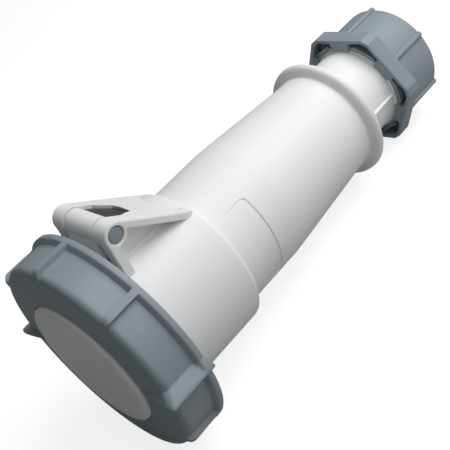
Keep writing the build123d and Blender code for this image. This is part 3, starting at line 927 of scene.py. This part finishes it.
@dataclass
class RearHousing:
    """The tapered housing with its label field, collar, neck rib and thread."""

    seam: Point = (83.5, 38.9)
    body_r: float = 39.1
    # (first x, spacing, count) of the points along the label field
    stations: tuple[tuple[float, float, int], ...] = (
        (86.0, 5.0, 2), (91.6, 0.2, 6), (94.0, 2.0, 5), (103.8, 1.0, 1), (104.8, 0.16, 25),
        (110.0, 4.0, 3),
    )
    field_x: Point = (92.0, 108.4)
    field_angle: float = 84.0
    field_half: float = 40.0
    field_depth: float = 0.55
    field_corner: float = 3.3
    field_wall: Point = (-0.28, 0.02)
    field_fade: float = 0.6
    field_stretch: float = 5.6
    field_end_x: float = 118.2
    taper: Shape = ((124.0, 39.2), (131.0, 38.75), (163.0, 36.28), (195.0, 33.8),
                    (200.6, 33.75), (201.5, 34.1))
    collar_x: Point = (203.2, 207.0)
    collar_r: float = 39.75
    collar_flat: Point = (2.3, -0.7)
    # (x from the collar's front or rear, radius)
    collar_front: Shape = ((-1.1, 36.0), (-0.7, 37.6), (0.1, 38.8), (1.1, 39.45))
    collar_rear: Shape = ((0.0, 39.1), (0.0, 36.0), (0.0, 30.0), (0.3, 28.5), (1.3, 28.02))
    rounding: float = 0.8
    rounding_steps: int = 3
    neck_r: float = 28.0
    neck_start: float = 1.9
    neck_places: tuple[float, ...] = (216.0, 222.0, 228.0, 234.0, 236.4)
    neck_slope: float = 0.012
    neck_end: Point = (236.55, 27.75)
    rib_angle: float = 89.5
    rib_half: float = 2.1
    rib_flank: float = 1.0
    rib_height: float = 1.4
    rib_margin: float = 0.4
    thread_x: float = 237.4
    thread_pitch: float = 3.0
    thread_turns: int = 4
    ridge: Shape = ((0.0, 27.7), (0.7, 28.95), (1.5, 28.95), (2.2, 27.7))
    # the rear end, the bore from the rear forwards and the spigot in the front shell
    inside: Shape = (
        (250.0, 27.4), (250.0, 24.0), (236.0, 24.0), (236.0, 19.5), (232.0, 19.5), (216.4, 24.0),
        (199.2, 25.5), (187.0, 30.5), (127.0, 36.2), (82.5, 36.2), (63.0, 36.0), (63.0, 41.8),
        (73.0, 41.8), (73.0, 39.7), (75.8, 39.7), (75.8, 41.8), (81.7, 41.8), (82.2, 39.2),
    )
    column_spacing: Point = (2.0, 0.25)
    sharp: float = 36.0

    def field_drop(self, x: float, angle: float) -> float:
        """Return how deep the label field lies below the skin at a place.

        Args:
            x: the place along the axis.
            angle: the angle round the axis.

        Returns:
            The depth.
        """
        low, high = self.field_x
        along = abs(x - (low + high) / 2) - (high - low) / 2 + self.field_corner
        beyond = abs(apart(angle, self.field_angle)) - self.field_half
        across = math.radians(beyond) * self.body_r + self.field_corner
        away = math.hypot(max(along, 0.0), max(across, 0.0)) + min(max(along, across), 0.0)
        inside = 1.0 - ramp(away - self.field_corner, *self.field_wall)
        share = min(max((x - low) / (high - low), 0.0), 1.0)
        return self.field_depth * share ** self.field_fade * inside

    def shoulder(self) -> list[Point]:
        """Return the taper and the collar, down to the neck.

        Returns:
            The (x, radius) points.
        """
        front, rear = self.collar_x
        top_in, top_out = self.collar_flat
        corners = [
            (self.field_end_x, self.body_r), *self.taper, *shifted(front, 0.0, self.collar_front),
            (front + top_in, self.collar_r), (rear + top_out, self.collar_r),
            *shifted(rear, 0.0, self.collar_rear),
        ]
        return Solid.soft_outline(corners, self.rounding, self.rounding_steps)

    def neck(self, angle: float) -> list[Point]:
        """Return the neck with its rib, and the thread behind it.

        Args:
            angle: the angle round the axis.

        Returns:
            The (x, radius) points.
        """
        rear = self.collar_x[1]
        bump = self.rib_height * near_marks(angle, (self.rib_angle,),
                                            self.rib_half - self.rib_flank, self.rib_half)
        rows = [(x, self.neck_r - (x - rear) * self.neck_slope + bump)
                for x in (rear + self.neck_start, *self.neck_places)]
        rows.append(self.neck_end)
        for turn in range(self.thread_turns):
            rows += shifted(self.thread_x + turn * self.thread_pitch, 0.0, self.ridge)
        return rows

    def outline(self, angle: float) -> list[Point]:
        """Return the housing's (x, radius) loop at an angle.

        Args:
            angle: the angle round the axis.

        Returns:
            The (x, radius) points.
        """
        field = [(x, self.body_r - self.field_drop(x, angle))
                 for x in (first + gap * step for first, gap, count in self.stations
                           for step in range(count))]
        return [self.seam, *field, *self.shoulder(), *self.neck(angle), *self.inside]

    def build(self, workshop: Workshop) -> list[Piece]:
        """Make the housing, dress it and let it stand for its CAD node.

        Args:
            workshop: gives the finish.

        Returns:
            The housing.
        """
        marks = [(self.field_angle - self.field_half, self.field_stretch),
                 (self.field_angle + self.field_half, self.field_stretch),
                 (self.rib_angle, self.rib_half + self.rib_margin)]
        columns = Solid.columns(*self.column_spacing, marks)
        piece = Solid.skin("housing_body", columns, self.outline, self.sharp)
        workshop.dress(piece, Finish.WHITE)
        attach(piece, "housing")
        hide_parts("rear_housing")
        return [piece]


class RoundAxis:
    """Geometry Nodes that repeat one rounded bar round the connector's axis."""

    TREE_NAME: ClassVar[str] = "bars_round_axis"
    NUMBERS: ClassVar = (("Count", 6.0), ("Turn", 0.0), ("Start", 0.0), ("End", 0.01),
                         ("Radius", 0.03), ("Width", 0.003), ("Height", 0.003), ("Round", 0.0008))
    ROUND_STEPS: ClassVar[int] = 4
    EASE_FROM: ClassVar[float] = 50.0
    SHARP: ClassVar[float] = 36.0

    @classmethod
    def tree(cls) -> bpy.types.NodeTree:
        """Return the shared tree, building it the first time.

        Returns:
            The geometry tree.
        """
        known = bpy.data.node_groups.get(cls.TREE_NAME)
        if known is not None:
            return known
        group = bpy.data.node_groups.new(cls.TREE_NAME, "GeometryNodeTree")
        NodeKit.sockets(group, "INPUT", "Geometry", (("Geometry", None),))
        NodeKit.sockets(group, "INPUT", "Float", cls.NUMBERS)
        NodeKit.sockets(group, "INPUT", "Material", (("Material", None),))
        NodeKit.sockets(group, "OUTPUT", "Geometry", (("Geometry", None),))
        kit = NodeKit(group)
        inputs = kit.add("NodeGroupInput").outputs
        bar = cls.one_bar(kit, inputs)
        spots = kit.add("GeometryNodePoints")
        kit.link(inputs["Count"], spots.inputs["Count"])
        index = kit.add("GeometryNodeInputIndex")
        step = kit.math("DIVIDE", math.tau, inputs["Count"])
        angle = kit.math("ADD", kit.math("MULTIPLY", index.outputs[0], step), inputs["Turn"])
        turned = kit.add("ShaderNodeCombineXYZ")
        kit.link(angle, turned.inputs["X"])
        copies = kit.add("GeometryNodeInstanceOnPoints")
        kit.link(spots.outputs[0], copies.inputs["Points"])
        kit.link(bar, copies.inputs["Instance"])
        kit.link(turned.outputs[0], copies.inputs["Rotation"])
        real = kit.add("GeometryNodeRealizeInstances")
        kit.link(copies.outputs[0], real.inputs[0])
        coloured = kit.add("GeometryNodeSetMaterial")
        kit.link(real.outputs[0], coloured.inputs["Geometry"])
        kit.link(inputs["Material"], coloured.inputs["Material"])
        kit.link(coloured.outputs[0], kit.add("NodeGroupOutput").inputs[0])
        return group

    @classmethod
    def one_bar(cls, kit: NodeKit, inputs: bpy.types.NodeOutputs) -> Socket:
        """Add the nodes that sweep one rounded bar above the axis.

        Args:
            inputs: the tree's inputs.

        Returns:
            The bar's socket.
        """
        ends = [kit.add("ShaderNodeCombineXYZ") for _ in range(2)]
        for node, key in zip(ends, ("Start", "End")):
            kit.link(inputs[key], node.inputs["X"])
            kit.link(inputs["Radius"], node.inputs["Z"])
        path = kit.add("GeometryNodeCurvePrimitiveLine")
        kit.link(ends[0].outputs[0], path.inputs["Start"])
        kit.link(ends[1].outputs[0], path.inputs["End"])
        section = kit.add("GeometryNodeCurvePrimitiveQuadrilateral")
        kit.link(inputs["Width"], section.inputs["Width"])
        kit.link(inputs["Height"], section.inputs["Height"])
        rounded = kit.add("GeometryNodeFilletCurve", mode="POLY", in_Count=cls.ROUND_STEPS,
                          in_Limit_Radius=True)
        kit.link(section.outputs[0], rounded.inputs["Curve"])
        kit.link(inputs["Round"], rounded.inputs["Radius"])
        bar = kit.add("GeometryNodeCurveToMesh", in_Fill_Caps=True)
        kit.link(path.outputs[0], bar.inputs["Curve"])
        kit.link(rounded.outputs[0], bar.inputs["Profile Curve"])
        return bar.outputs[0]

    @classmethod
    def bars(cls, name: str, workshop: Workshop, finish: Finish, ease: float,
             **sizes: float) -> Piece:
        """Make a ring of bars as one plain, dressed mesh.

        Args:
            name: the piece's name.
            workshop: gives the finish.
            finish: what the bars are made of.
            ease: the width of the breaks on the bars' ends.
            sizes: the tree's inputs by name, the turn in degrees and the rest in millimetres.

        Returns:
            The piece.
        """
        group = cls.tree()
        holder = put(name + "_raw", bpy.data.meshes.new(name + "_raw"))
        maker = holder.modifiers.new("bars", "NODES")
        maker.node_group = group
        values = {key: size * MM for key, size in sizes.items()}
        values.update(Turn=math.radians(sizes["Turn"]), Material=workshop.materials[finish])
        for socket in group.interface.items_tree:
            if socket.in_out == "INPUT" and socket.name in values:
                maker[socket.identifier] = values[socket.name]
        Solid.soften(holder, ease, cls.EASE_FROM)
        plain = Solid.plain(holder)
        body = bmesh.new()
        body.from_mesh(plain)
        bpy.data.meshes.remove(plain)
        piece = Solid.finished(name, body, cls.SHARP)
        workshop.dress(piece, finish)
        return piece


@dataclass
class GlandNut:
    """The gland nut: a chamfered hexagonal flange with corner cells and a ribbed drum."""

    front_x: float = 236.8
    rear_x: float = 247.4
    end_x: float = 276.0
    apothem: float = 35.5
    corner_r: float = 39.6
    corner_half: float = 3.78
    turn: float = -2.7
    rim_break: Shape = ((0.35, 0.0), (0.1, -0.12), (0.0, -0.4), (0.0, -1.9))
    rim_rear: Shape = ((0.0, -0.9), (-0.12, -0.4), (-0.35, -0.12), (-0.8, 0.0))
    wall: float = 2.2
    cell_half: float = 18.0
    cell_flank: float = 0.35
    cell_depth: float = 8.0
    cell_draft: float = 0.4
    cell_rows: tuple[float, ...] = (0.3, 0.65, 1.0)
    # (x outside a cell, x that a cell adds, step from the wall, the lip or the entry)
    wall_edge: tuple[Place, ...] = ((0.0, 0.1, 0.08), (0.0, 0.35, 0.0))
    lip_edge: tuple[Place, ...] = ((0.0, 8.0, 0.6), (0.0, 8.0, 0.0), (0.0, 4.0, -0.05),
                                   (0.0, 1.6, -0.1), (0.0, 1.4, -0.35))
    entry_edge: tuple[Place, ...] = ((0.0, 1.4, 0.35), (0.1, 1.4, 0.1), (0.4, 1.4, 0.0),
                                     (2.4, 0.0, 0.0))
    lip_r: float = 31.2
    entry_r: float = 28.35
    bore_x: float = 3.2
    bore_r: float = 29.3
    wall_x: float = 264.7
    mouth_r: float = 17.0
    mouth_edge: Shape = ((0.0, 0.4), (0.4, 0.0))
    mouth_flare: Shape = ((-2.6, 0.0), (-1.6, 0.6), (-0.3, 1.8), (0.0, 2.4))
    drum_r: float = 33.5
    drum_end: Shape = ((0.0, -2.6), (-0.15, -1.6), (-0.7, -0.7), (-1.6, -0.15), (-2.6, 0.0),
                       (-10.0, 0.0))
    drum_foot: Shape = ((8.0, 0.0), (0.6, 0.0), (0.2, 0.1), (0.0, 0.4))
    rib_x: Point = (-0.6, -1.2)
    rib_r: float = 33.7
    rib_size: Point = (3.3, 3.2)
    rib_round: float = 1.3
    rib_ease: float = 0.5
    fin_x: Point = (0.5, 7.8)
    fin_r: float = 31.5
    fin_size: Point = (13.5, 1.0)
    fin_round: float = 0.3
    fin_ease: float = 0.2
    column_spacing: Point = (1.5, 0.25)
    corner_stretch: float = 0.5
    cell_stretch: Point = (-0.2, 0.4)
    sharp: float = 36.0

    def from_flat(self, angle: float) -> float:
        """Return how far an angle is from the middle of the nearest flat, in degrees."""
        flat = 60.0 * round((angle - self.turn) / 60.0) + self.turn
        return abs(apart(angle, flat))

    def hex_radius(self, angle: float) -> float:
        """Return the flange's radius at an angle.

        Args:
            angle: the angle round the axis.

        Returns:
            The radius of the flat or of the corner there.
        """
        off = self.from_flat(angle)
        flat = self.apothem / math.cos(math.radians(off))
        chord = self.corner_r * math.cos(math.radians(self.corner_half))
        return min(flat, chord / math.cos(math.radians(30.0 - off)))

    def sunk(self, cell: float, radius: float, rows: Sequence[Place]) -> list[Point]:
        """Place rows of a cell's edge.

        Args:
            cell: 1 in a corner cell and 0 on the lands between them.
            radius: the radius that the rows' steps start from.
            rows: (x outside a cell, x that a cell adds, radius step) of each point.

        Returns:
            The (x, radius) points.
        """
        return [(self.front_x + x + deeper * cell, radius + step) for x, deeper, step in rows]

    def outline(self, angle: float) -> list[Point]:
        """Return the nut's (x, radius) loop at an angle.

        Args:
            angle: the angle round the axis.

        Returns:
            The (x, radius) points.
        """
        rim = self.hex_radius(angle)
        inner = rim - self.wall
        off = 30.0 - self.from_flat(angle)
        cell = 1.0 - ramp(off, self.cell_half - self.cell_flank, self.cell_half)
        sides = [(self.front_x + self.cell_depth * cell * share, inner - self.cell_draft * share)
                 for share in self.cell_rows]
        return [
            *shifted(self.front_x, rim, self.rim_break), *self.sunk(cell, inner, self.wall_edge),
            *sides, *self.sunk(cell, self.lip_r, self.lip_edge),
            *self.sunk(cell, self.entry_r, self.entry_edge),
            (self.front_x + self.bore_x, self.bore_r), (self.wall_x, self.bore_r),
            *shifted(self.wall_x, self.mouth_r, self.mouth_edge),
            *shifted(self.end_x, self.mouth_r, self.mouth_flare),
            *shifted(self.end_x, self.drum_r, self.drum_end),
            *shifted(self.rear_x, self.drum_r, self.drum_foot),
            *shifted(self.rear_x, rim, self.rim_rear),
        ]

    def build(self, workshop: Workshop) -> list[Piece]:
        """Make the nut, its drum ribs and the fins in its cells.

        Args:
            workshop: gives the finish.

        Returns:
            The pieces.
        """
        inset, half = self.cell_stretch
        marks = []
        for corner in [60.0 * place + 30.0 + self.turn for place in range(6)]:
            marks += [(corner + side * self.corner_half, self.corner_stretch) for side in (-1, 1)]
            marks += [(corner + side * (self.cell_half + inset), half) for side in (-1, 1)]
        columns = Solid.columns(*self.column_spacing, marks)
        nut = Solid.skin("nut_body", columns, self.outline, self.sharp)
        workshop.dress(nut, Finish.BLUE_GREY)
        ribs = RoundAxis.bars(
            "nut_ribs", workshop, Finish.BLUE_GREY, self.rib_ease, Turn=self.turn,
            Start=self.rear_x + self.rib_x[0], End=self.end_x + self.rib_x[1], Radius=self.rib_r,
            Width=self.rib_size[0], Height=self.rib_size[1], Round=self.rib_round)
        fins = RoundAxis.bars(
            "nut_fins", workshop, Finish.BLUE_GREY, self.fin_ease, Turn=30.0 + self.turn,
            Start=self.front_x + self.fin_x[0], End=self.front_x + self.fin_x[1],
            Radius=self.fin_r, Width=self.fin_size[0], Height=self.fin_size[1],
            Round=self.fin_round)
        for piece in (nut, ribs, fins):
            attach(piece, "nut")
        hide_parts("gland_nut")
        return [nut, ribs, fins]


@dataclass
class BracketDetail:
    """Small forms of the hinge bracket that the CAD leaves out, and painted shade in its window."""

    pin: Point = (39.3, 61.3)
    eye_r: float = 6.55
    hole_r: float = 4.6
    arc_step: float = 6.0
    strut_t: float = 4.0
    slope: float = 35.0
    tip_back: float = 4.6
    tip_drop: float = 1.4
    seam_x: float = 81.2
    post_in: float = 1.1
    foot_z: float = 36.0
    root_y: float = 15.5
    near_y: float = 22.4
    far_y: float = 21.6
    frame_ease: float = 0.7
    rim_from: float = 30.0
    head_r: float = 4.1
    head_in: float = 0.5
    # (y behind the head's face, step from its radius)
    head_break: Shape = ((0.0, -0.7), (0.12, -0.4), (0.5, 0.0))
    head_columns: int = 64
    head_sharp: float = 40.0
    strip_x: Point = (37.6, 61.0)
    strip_y: Point = (14.0, 15.4)
    strip_z: Point = (39.5, 43.9)
    strip_ease: float = 0.25
    # the dark sheet of painted shade in the bracket's window
    shade_sheet_x: Point = (45.0, 61.5)
    shade_sheet_half: float = 12.3
    shade_sheet_level: float = 77.6
    shade_sheet_thick: float = 1.2
    shade_sheet_ease: float = 0.2
    sharp: float = 60.0
    ease_strips: int = 2
    key_digits: int = 3

    def slab(self, name: str, outline: Sequence[Point], sides: Point, width: float) -> Piece:
        """Extrude an (x, z) outline along Y and ease its edges.

        Args:
            name: the piece's name.
            outline: the corners.
            sides: the y of each side.
            width: the width of the edge breaks.

        Returns:
            The piece.
        """
        body = bmesh.new()
        ends = [[body.verts.new((x * MM, y * MM, z * MM)) for x, z in outline] for y in sides]
        body.faces.new(ends[0])
        body.faces.new(ends[1])
        for place in range(len(outline)):
            following = (place + 1) % len(outline)
            body.faces.new((ends[0][place], ends[0][following],
                            ends[1][following], ends[1][place]))
        return self.eased(name, body, body.edges[:], width)

    def eased(self, name: str, body: bmesh.types.BMesh, edges: Sequence[bmesh.types.BMEdge],
              width: float) -> Piece:
        """Break some edges of a mesh and finish it.

        Args:
            name: the piece's name.
            body: the mesh under construction.
            edges: the edges to break.
            width: the width of the breaks.

        Returns:
            The piece.
        """
        bmesh.ops.recalc_face_normals(body, faces=body.faces)
        bmesh.ops.bevel(body, geom=edges, offset=width * MM, segments=self.ease_strips,
                        affect="EDGES", clamp_overlap=True)
        return Solid.finished(name, body, self.sharp, flat=True)

    def arc(self, radius: float, start: float, end: float) -> list[Point]:
        """Return (x, z) points round the pin, from one angle to another above +X.

        Args:
            radius: the arc's radius.
            start: the first angle.
            end: the last angle.

        Returns:
            The points.
        """
        count = max(2, round(abs(end - start) / self.arc_step))
        turns = [math.radians(start + (end - start) * step / count) for step in range(count + 1)]
        return [(self.pin[0] + radius * math.cos(turn), self.pin[1] + radius * math.sin(turn))
                for turn in turns]

    def cheek_loops(self) -> tuple[list[Point], list[Point]]:
        """Return a cheek's frame as two (x, z) loops that meet above and below the pin.

        Returns:
            The post's half and the strut's half, each with half of the eye.
        """
        px, pz = self.pin
        lean = math.radians(self.slope)
        along = Vector((math.cos(lean), -math.sin(lean)))
        off = Vector((math.sin(lean), math.cos(lean)))
        top = Vector(self.pin) + off * self.eye_r
        reach = (self.seam_x - top.x) / along.x
        level = self.eye_r - self.strut_t
        start = (Vector(self.pin) + off * level
                 + along * math.sqrt(self.eye_r ** 2 - level ** 2))
        end = start + along * ((self.seam_x - start.x) / along.x)
        entry = math.degrees(math.atan2(start.y - pz, start.x - px))
        leave = -90.0 - math.degrees(math.asin(self.post_in / self.eye_r))
        post = [
            (px - self.eye_r, self.foot_z), *self.arc(self.eye_r, 180.0, 90.0),
            *self.arc(self.hole_r, 90.0, 270.0), *self.arc(self.eye_r, -90.0, leave),
            (px - self.post_in, self.foot_z),
        ]
        strut = [
            *self.arc(self.eye_r, 90.0, 90.0 - self.slope),
            tuple(top + along * (reach - self.tip_back)),
            tuple(top + along * reach - off * self.tip_drop), tuple(end),
            *self.arc(self.eye_r, entry, -90.0), *self.arc(self.hole_r, -90.0, 90.0),
        ]
        return post, strut

    def plate(self, name: str, root: float, face: float) -> Piece:
        """Make strut, eye and post of a cheek in one piece, with the pin's hole.

        Args:
            name: the piece's name.
            root: the y inside the cheek.
            face: the y of the outer face.

        Returns:
            The piece.
        """
        body = bmesh.new()
        known: dict[Place, bmesh.types.BMVert] = {}

        def key(place: Point) -> Point:
            """Round a place, so that both loops name a shared point alike."""
            return (round(place[0], self.key_digits), round(place[1], self.key_digits))

        def corner(place: Point, y: float) -> bmesh.types.BMVert:
            """Return the one point at a place, adding it the first time."""
            x, z = key(place)
            if (x, y, z) not in known:
                known[(x, y, z)] = body.verts.new((x * MM, y * MM, z * MM))
            return known[(x, y, z)]

        px, pz = self.pin
        shared = {key((px, pz + height))
                  for height in (self.eye_r, self.hole_r, -self.hole_r, -self.eye_r)}
        for loop in self.cheek_loops():
            for y in (root, face):
                body.faces.new([corner(place, y) for place in loop])
            for here, there in zip(loop, loop[1:] + loop[:1]):
                if not {key(here), key(there)} <= shared:
                    body.faces.new((corner(here, root), corner(there, root),
                                    corner(there, face), corner(here, face)))
        bmesh.ops.recalc_face_normals(body, faces=body.faces)
        rims = [edge for edge in body.edges
                if edge.is_manifold and edge.calc_face_angle() > math.radians(self.rim_from)]
        return self.eased(name, body, rims, self.frame_ease)

    def pin_end(self, name: str, root: float, face: float) -> Piece:
        """Turn the grey end of the hinge pin.

        Args:
            name: the piece's name.
            root: the y inside the cheek.
            face: the y of the cheek's outer face.

        Returns:
            The piece.
        """
        sign = math.copysign(1.0, face)
        tip = face - self.head_in * sign
        profile = [(root, 0.0), (tip, 0.0)]
        profile += [(tip - depth * sign, self.head_r + step) for depth, step in self.head_break]
        profile.append((root, self.head_r))
        body = bmesh.new()
        loops = []
        for column in range(self.head_columns):
            turn = math.tau * column / self.head_columns
            loops.append([body.verts.new(((self.pin[0] + r * math.sin(turn)) * MM, y * MM,
                                          (self.pin[1] + r * math.cos(turn)) * MM))
                          for y, r in profile])
        Solid.join(body, loops)
        return Solid.finished(name, body, self.head_sharp)

    def frame(self, side: str, root: float, face: float, workshop: Workshop) -> list[Piece]:
        """Make the raised frame and the pin end of one cheek.

        Args:
            side: "near" or "far".
            root: the y inside the cheek.
            face: the y of the outer face.
            workshop: gives the finishes.

        Returns:
            The pieces.
        """
        plate = self.plate("frame_" + side, root, face)
        grey = self.pin_end("pin_end_" + side, root, face)
        workshop.dress(plate, Finish.WHITE)
        workshop.dress(grey, Finish.BLUE_GREY)
        return [plate, grey]

    def ledges(self, workshop: Workshop) -> list[Piece]:
        """Make the two strips along the foot of the webs.

        Args:
            workshop: gives the finish.

        Returns:
            The strips.
        """
        (x0, x1), (y0, y1), (z0, z1) = self.strip_x, self.strip_y, self.strip_z
        strip = [(x0, z0), (x1, z0), (x1, z1), (x0, z1)]
        pieces = []
        for name, sides in (("ledge_near", (-y1, -y0)), ("ledge_far", (y0, y1))):
            piece = self.slab(name, strip, sides, self.strip_ease)
            workshop.dress(piece, Finish.WHITE)
            pieces.append(piece)
        return pieces

    def window_shade_sheet(self, workshop: Workshop) -> Piece:
        """Make a dark sheet of painted shade for the bracket's window, where the shell lies in
        shade.

        Args:
            workshop: gives the finish.

        Returns:
            The sheet of painted shade.
        """
        lean = math.radians(self.slope)
        level, drop = self.shade_sheet_level / math.cos(lean), self.shade_sheet_thick / math.cos(lean)
        upper = [(x, level - x * math.tan(lean)) for x in self.shade_sheet_x]
        lower = [(x, z - drop) for x, z in reversed(upper)]
        shade_sheet = self.slab("window_shade_sheet", upper + lower, (-self.shade_sheet_half, self.shade_sheet_half),
                          self.shade_sheet_ease)
        # Painted shade: this dark sheet stands for the shade that falls inside the bracket's
        # window.
        workshop.dress(shade_sheet, Finish.DARK)
        return shade_sheet

    def build(self, workshop: Workshop) -> list[Piece]:
        """Make the cheeks' frames, the pin's ends, the ledge strips and the window's painted shade.

        Args:
            workshop: gives the finishes.

        Returns:
            The pieces.
        """
        pieces = self.frame("near", -self.root_y, -self.near_y, workshop)
        pieces += self.frame("far", self.root_y, self.far_y, workshop)
        pieces += [*self.ledges(workshop), self.window_shade_sheet(workshop)]
        for piece in pieces:
            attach(piece, "housing")
        return pieces


@dataclass
class EasedNodes:
    """CAD nodes whose shape is right and whose edges want breaking as moulded parts have them."""

    # (CAD node, body, finish, width of the edge breaks)
    rows: tuple[tuple[str, str, Finish, float], ...] = (
        ("front_shell", "housing", Finish.WHITE, 0.45),
        ("lid", "lid", Finish.WHITE, 0.4),
        ("hinge_pin", "housing", Finish.BLUE_GREY, 0.6),
        ("contact_carrier", "housing", Finish.DARK, 0.3),
    )
    web_y: float = 16.5
    deep_web_y: float = 14.2
    web_from_z: float = 35.0
    shell_r: float = 44.6
    arm_y: float = 11.7
    slim_arm_y: float = 11.1
    arm_from_z: float = 45.0
    within: float = 0.05

    def on_side(self, place: Vector, y: float, from_z: float) -> bool:
        """Return whether a point in metres lies on a side plane, above a height.

        Args:
            place: the point.
            y: the plane's distance from the middle.
            from_z: the height.

        Returns:
            True where it does.
        """
        return abs(abs(place.y) - y * MM) < self.within * MM and place.z > from_z * MM

    def deepen_webs(self, place: Vector) -> None:
        """Move the bracket's web planes inwards, along the shell where they meet it.

        Args:
            place: a point of the shell in metres, moved here.
        """
        if self.on_side(place, self.web_y, self.web_from_z):
            radius = math.hypot(place.y, place.z)
            place.y = math.copysign(self.deep_web_y * MM, place.y)
            if radius < self.shell_r * MM:
                place.z = math.sqrt(radius ** 2 - place.y ** 2)

    def slim_arm(self, place: Vector) -> None:
        """Draw the sides of the lid's arm and barrel in, so that the gaps beside them show."""
        if self.on_side(place, self.arm_y, self.arm_from_z):
            place.y = math.copysign(self.slim_arm_y * MM, place.y)

    def build(self, workshop: Workshop) -> list[Piece]:
        """Make the eased pieces.

        Args:
            workshop: gives the finishes.

        Returns:
            The pieces.
        """
        tunes = {"front_shell": self.deepen_webs, "lid": self.slim_arm}
        pieces = []
        for node, body, finish, width in self.rows:
            piece = Solid.eased(node + "_eased", node, width, tunes.get(node))
            workshop.dress(piece, finish)
            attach(piece, body)
            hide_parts(node)
            pieces.append(piece)
        return pieces


@dataclass(frozen=True)
class Lamp:
    """A round soft box: where it stands from the connector's middle, in metres, and its power."""

    name: str
    direction: Place
    size: float
    power: float
    distance: float = 0.75

    def build(self, centre: Vector) -> None:
        """Hang the lamp so that it shines on a place.

        Args:
            centre: the place that it faces.
        """
        towards = Vector(self.direction).normalized()
        data = bpy.data.lights.new(self.name, "AREA")
        data.shape = "DISK"
        data.size = self.size
        data.energy = self.power
        turn = towards.to_track_quat("Z", "Y").to_matrix().to_4x4()
        place = centre + towards * self.distance
        put(self.name, data).matrix_world = Matrix.Translation(place) @ turn


@dataclass
class Studio:
    """Camera, floor, lamps and world that follow the photograph, in metres."""

    camera_place: Place = (-0.091346, -0.323743, 0.269784)
    view_right: Place = (0.626789, -0.688820, -0.364229)
    view_down: Place = (-0.651330, -0.206605, -0.730126)
    lens: float = 67.187
    sensor: float = 36.0
    clip_start: float = 0.01
    # (x, z) of the places that rest on the floor
    ring_foot: Point = (0.0275, -0.0642)
    nut_foot: Point = (0.2746, -0.0355)
    floor_half: float = 3.0
    floor_gap: float = 0.0002
    floor_tone: float = 0.42
    floor_glow: float = 0.8
    centre: Place = (0.12, 0.0, 0.0)
    lamps: tuple[Lamp, ...] = (
        Lamp("soft_box", (0.456, -0.196, 0.881), size=0.7, power=3.7),
        Lamp("side_box", (0.25, -0.62, 0.74), size=1.0, power=2.4),
    )
    ambient: float = 0.15
    ambient_colour: tuple[float, ...] = (0.98, 1.0, 0.98, 1.0)
    backdrop_colour: tuple[float, ...] = (1.0, 1.0, 1.0, 1.0)

    def aim_camera(self) -> None:
        """Place the camera by the view that was worked out from the photograph."""
        right = Vector(self.view_right).normalized()
        up = -Vector(self.view_down).normalized()
        back = right.cross(up).normalized()
        turn = Matrix((right, up, back)).transposed().to_4x4()
        data = bpy.data.cameras.new("photo_view")
        data.lens = self.lens
        data.sensor_width = self.sensor
        data.clip_start = self.clip_start
        camera = put("photo_view", data)
        camera.matrix_world = Matrix.Translation(self.camera_place) @ turn
        bpy.context.scene.camera = camera

    def floor_material(self) -> bpy.types.Material:
        """Make the pale floor, which the camera sees lit up and the object doesn't.

        Returns:
            The material.
        """
        material = bpy.data.materials.new("pale_floor")
        kit = NodeKit.cleared(material)
        output = kit.add("ShaderNodeOutputMaterial")
        matte = kit.add("ShaderNodeBsdfDiffuse", in_Color=(*[self.floor_tone] * 3, 1.0))
        glow = kit.add("ShaderNodeEmission", in_Strength=self.floor_glow)
        both = kit.add("ShaderNodeAddShader")
        kit.link(matte.outputs[0], both.inputs[0])
        kit.link(glow.outputs[0], both.inputs[1])
        path = kit.add("ShaderNodeLightPath")
        choice = kit.add("ShaderNodeMixShader")
        kit.link(path.outputs["Is Camera Ray"], choice.inputs["Fac"])
        kit.link(matte.outputs[0], choice.inputs[1])
        kit.link(both.outputs[0], choice.inputs[2])
        kit.link(choice.outputs[0], output.inputs["Surface"])
        return material

    def lay_floor(self) -> None:
        """Add the floor that the ring and the nut rest on."""
        (ring_x, ring_z), (nut_x, nut_z) = self.ring_foot, self.nut_foot
        slope = math.atan2(nut_z - ring_z, nut_x - ring_x)
        half = self.floor_half
        corners = [(ring_x + along * math.cos(slope), side,
                    ring_z + along * math.sin(slope) - self.floor_gap)
                   for along, side in ((-half, -half), (half, -half), (half, half), (-half, half))]
        mesh = bpy.data.meshes.new("floor")
        mesh.from_pydata(corners, [], [(0, 1, 2, 3)])
        mesh.materials.append(self.floor_material())
        floor = put("floor", mesh)

    def fill_world(self) -> None:
        """Add a dim world that the camera sees as white."""
        world = bpy.data.worlds.new("studio_air")
        bpy.context.scene.world = world
        kit = NodeKit.cleared(world)
        output = kit.add("ShaderNodeOutputWorld")
        dim = kit.add("ShaderNodeBackground", in_Color=self.ambient_colour,
                      in_Strength=self.ambient)
        white = kit.add("ShaderNodeBackground", in_Color=self.backdrop_colour)
        path = kit.add("ShaderNodeLightPath")
        seen = kit.math("MAXIMUM", path.outputs["Is Camera Ray"],
                        path.outputs["Is Transmission Ray"])
        choice = kit.add("ShaderNodeMixShader")
        kit.link(seen, choice.inputs["Fac"])
        kit.link(dim.outputs[0], choice.inputs[1])
        kit.link(white.outputs[0], choice.inputs[2])
        kit.link(choice.outputs[0], output.inputs["Surface"])

    def build(self) -> None:
        """Set up the whole studio."""
        self.aim_camera()
        self.lay_floor()
        for lamp in self.lamps:
            lamp.build(Vector(self.centre))
        self.fill_world()
        bpy.context.scene.view_settings.view_transform = "Standard"
        LOG.info("studio ready")


def main() -> None:
    """Build every sub-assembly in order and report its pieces."""
    logging.basicConfig(level=logging.INFO, format="%(name)s: %(message)s")
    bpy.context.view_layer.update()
    workshop = Workshop()
    workshop.dress_frame()
    makers = (BayonetRing(), LidCap(), RearHousing(), GlandNut(), BracketDetail(), EasedNodes())
    for maker in makers:
        for piece in maker.build(workshop):
            faces = len(piece.data.polygons)
            LOG.info("%s made %s with %d faces", type(maker).__name__, piece.name, faces)
    Studio().build()


if __name__ == "__main__":
    main()
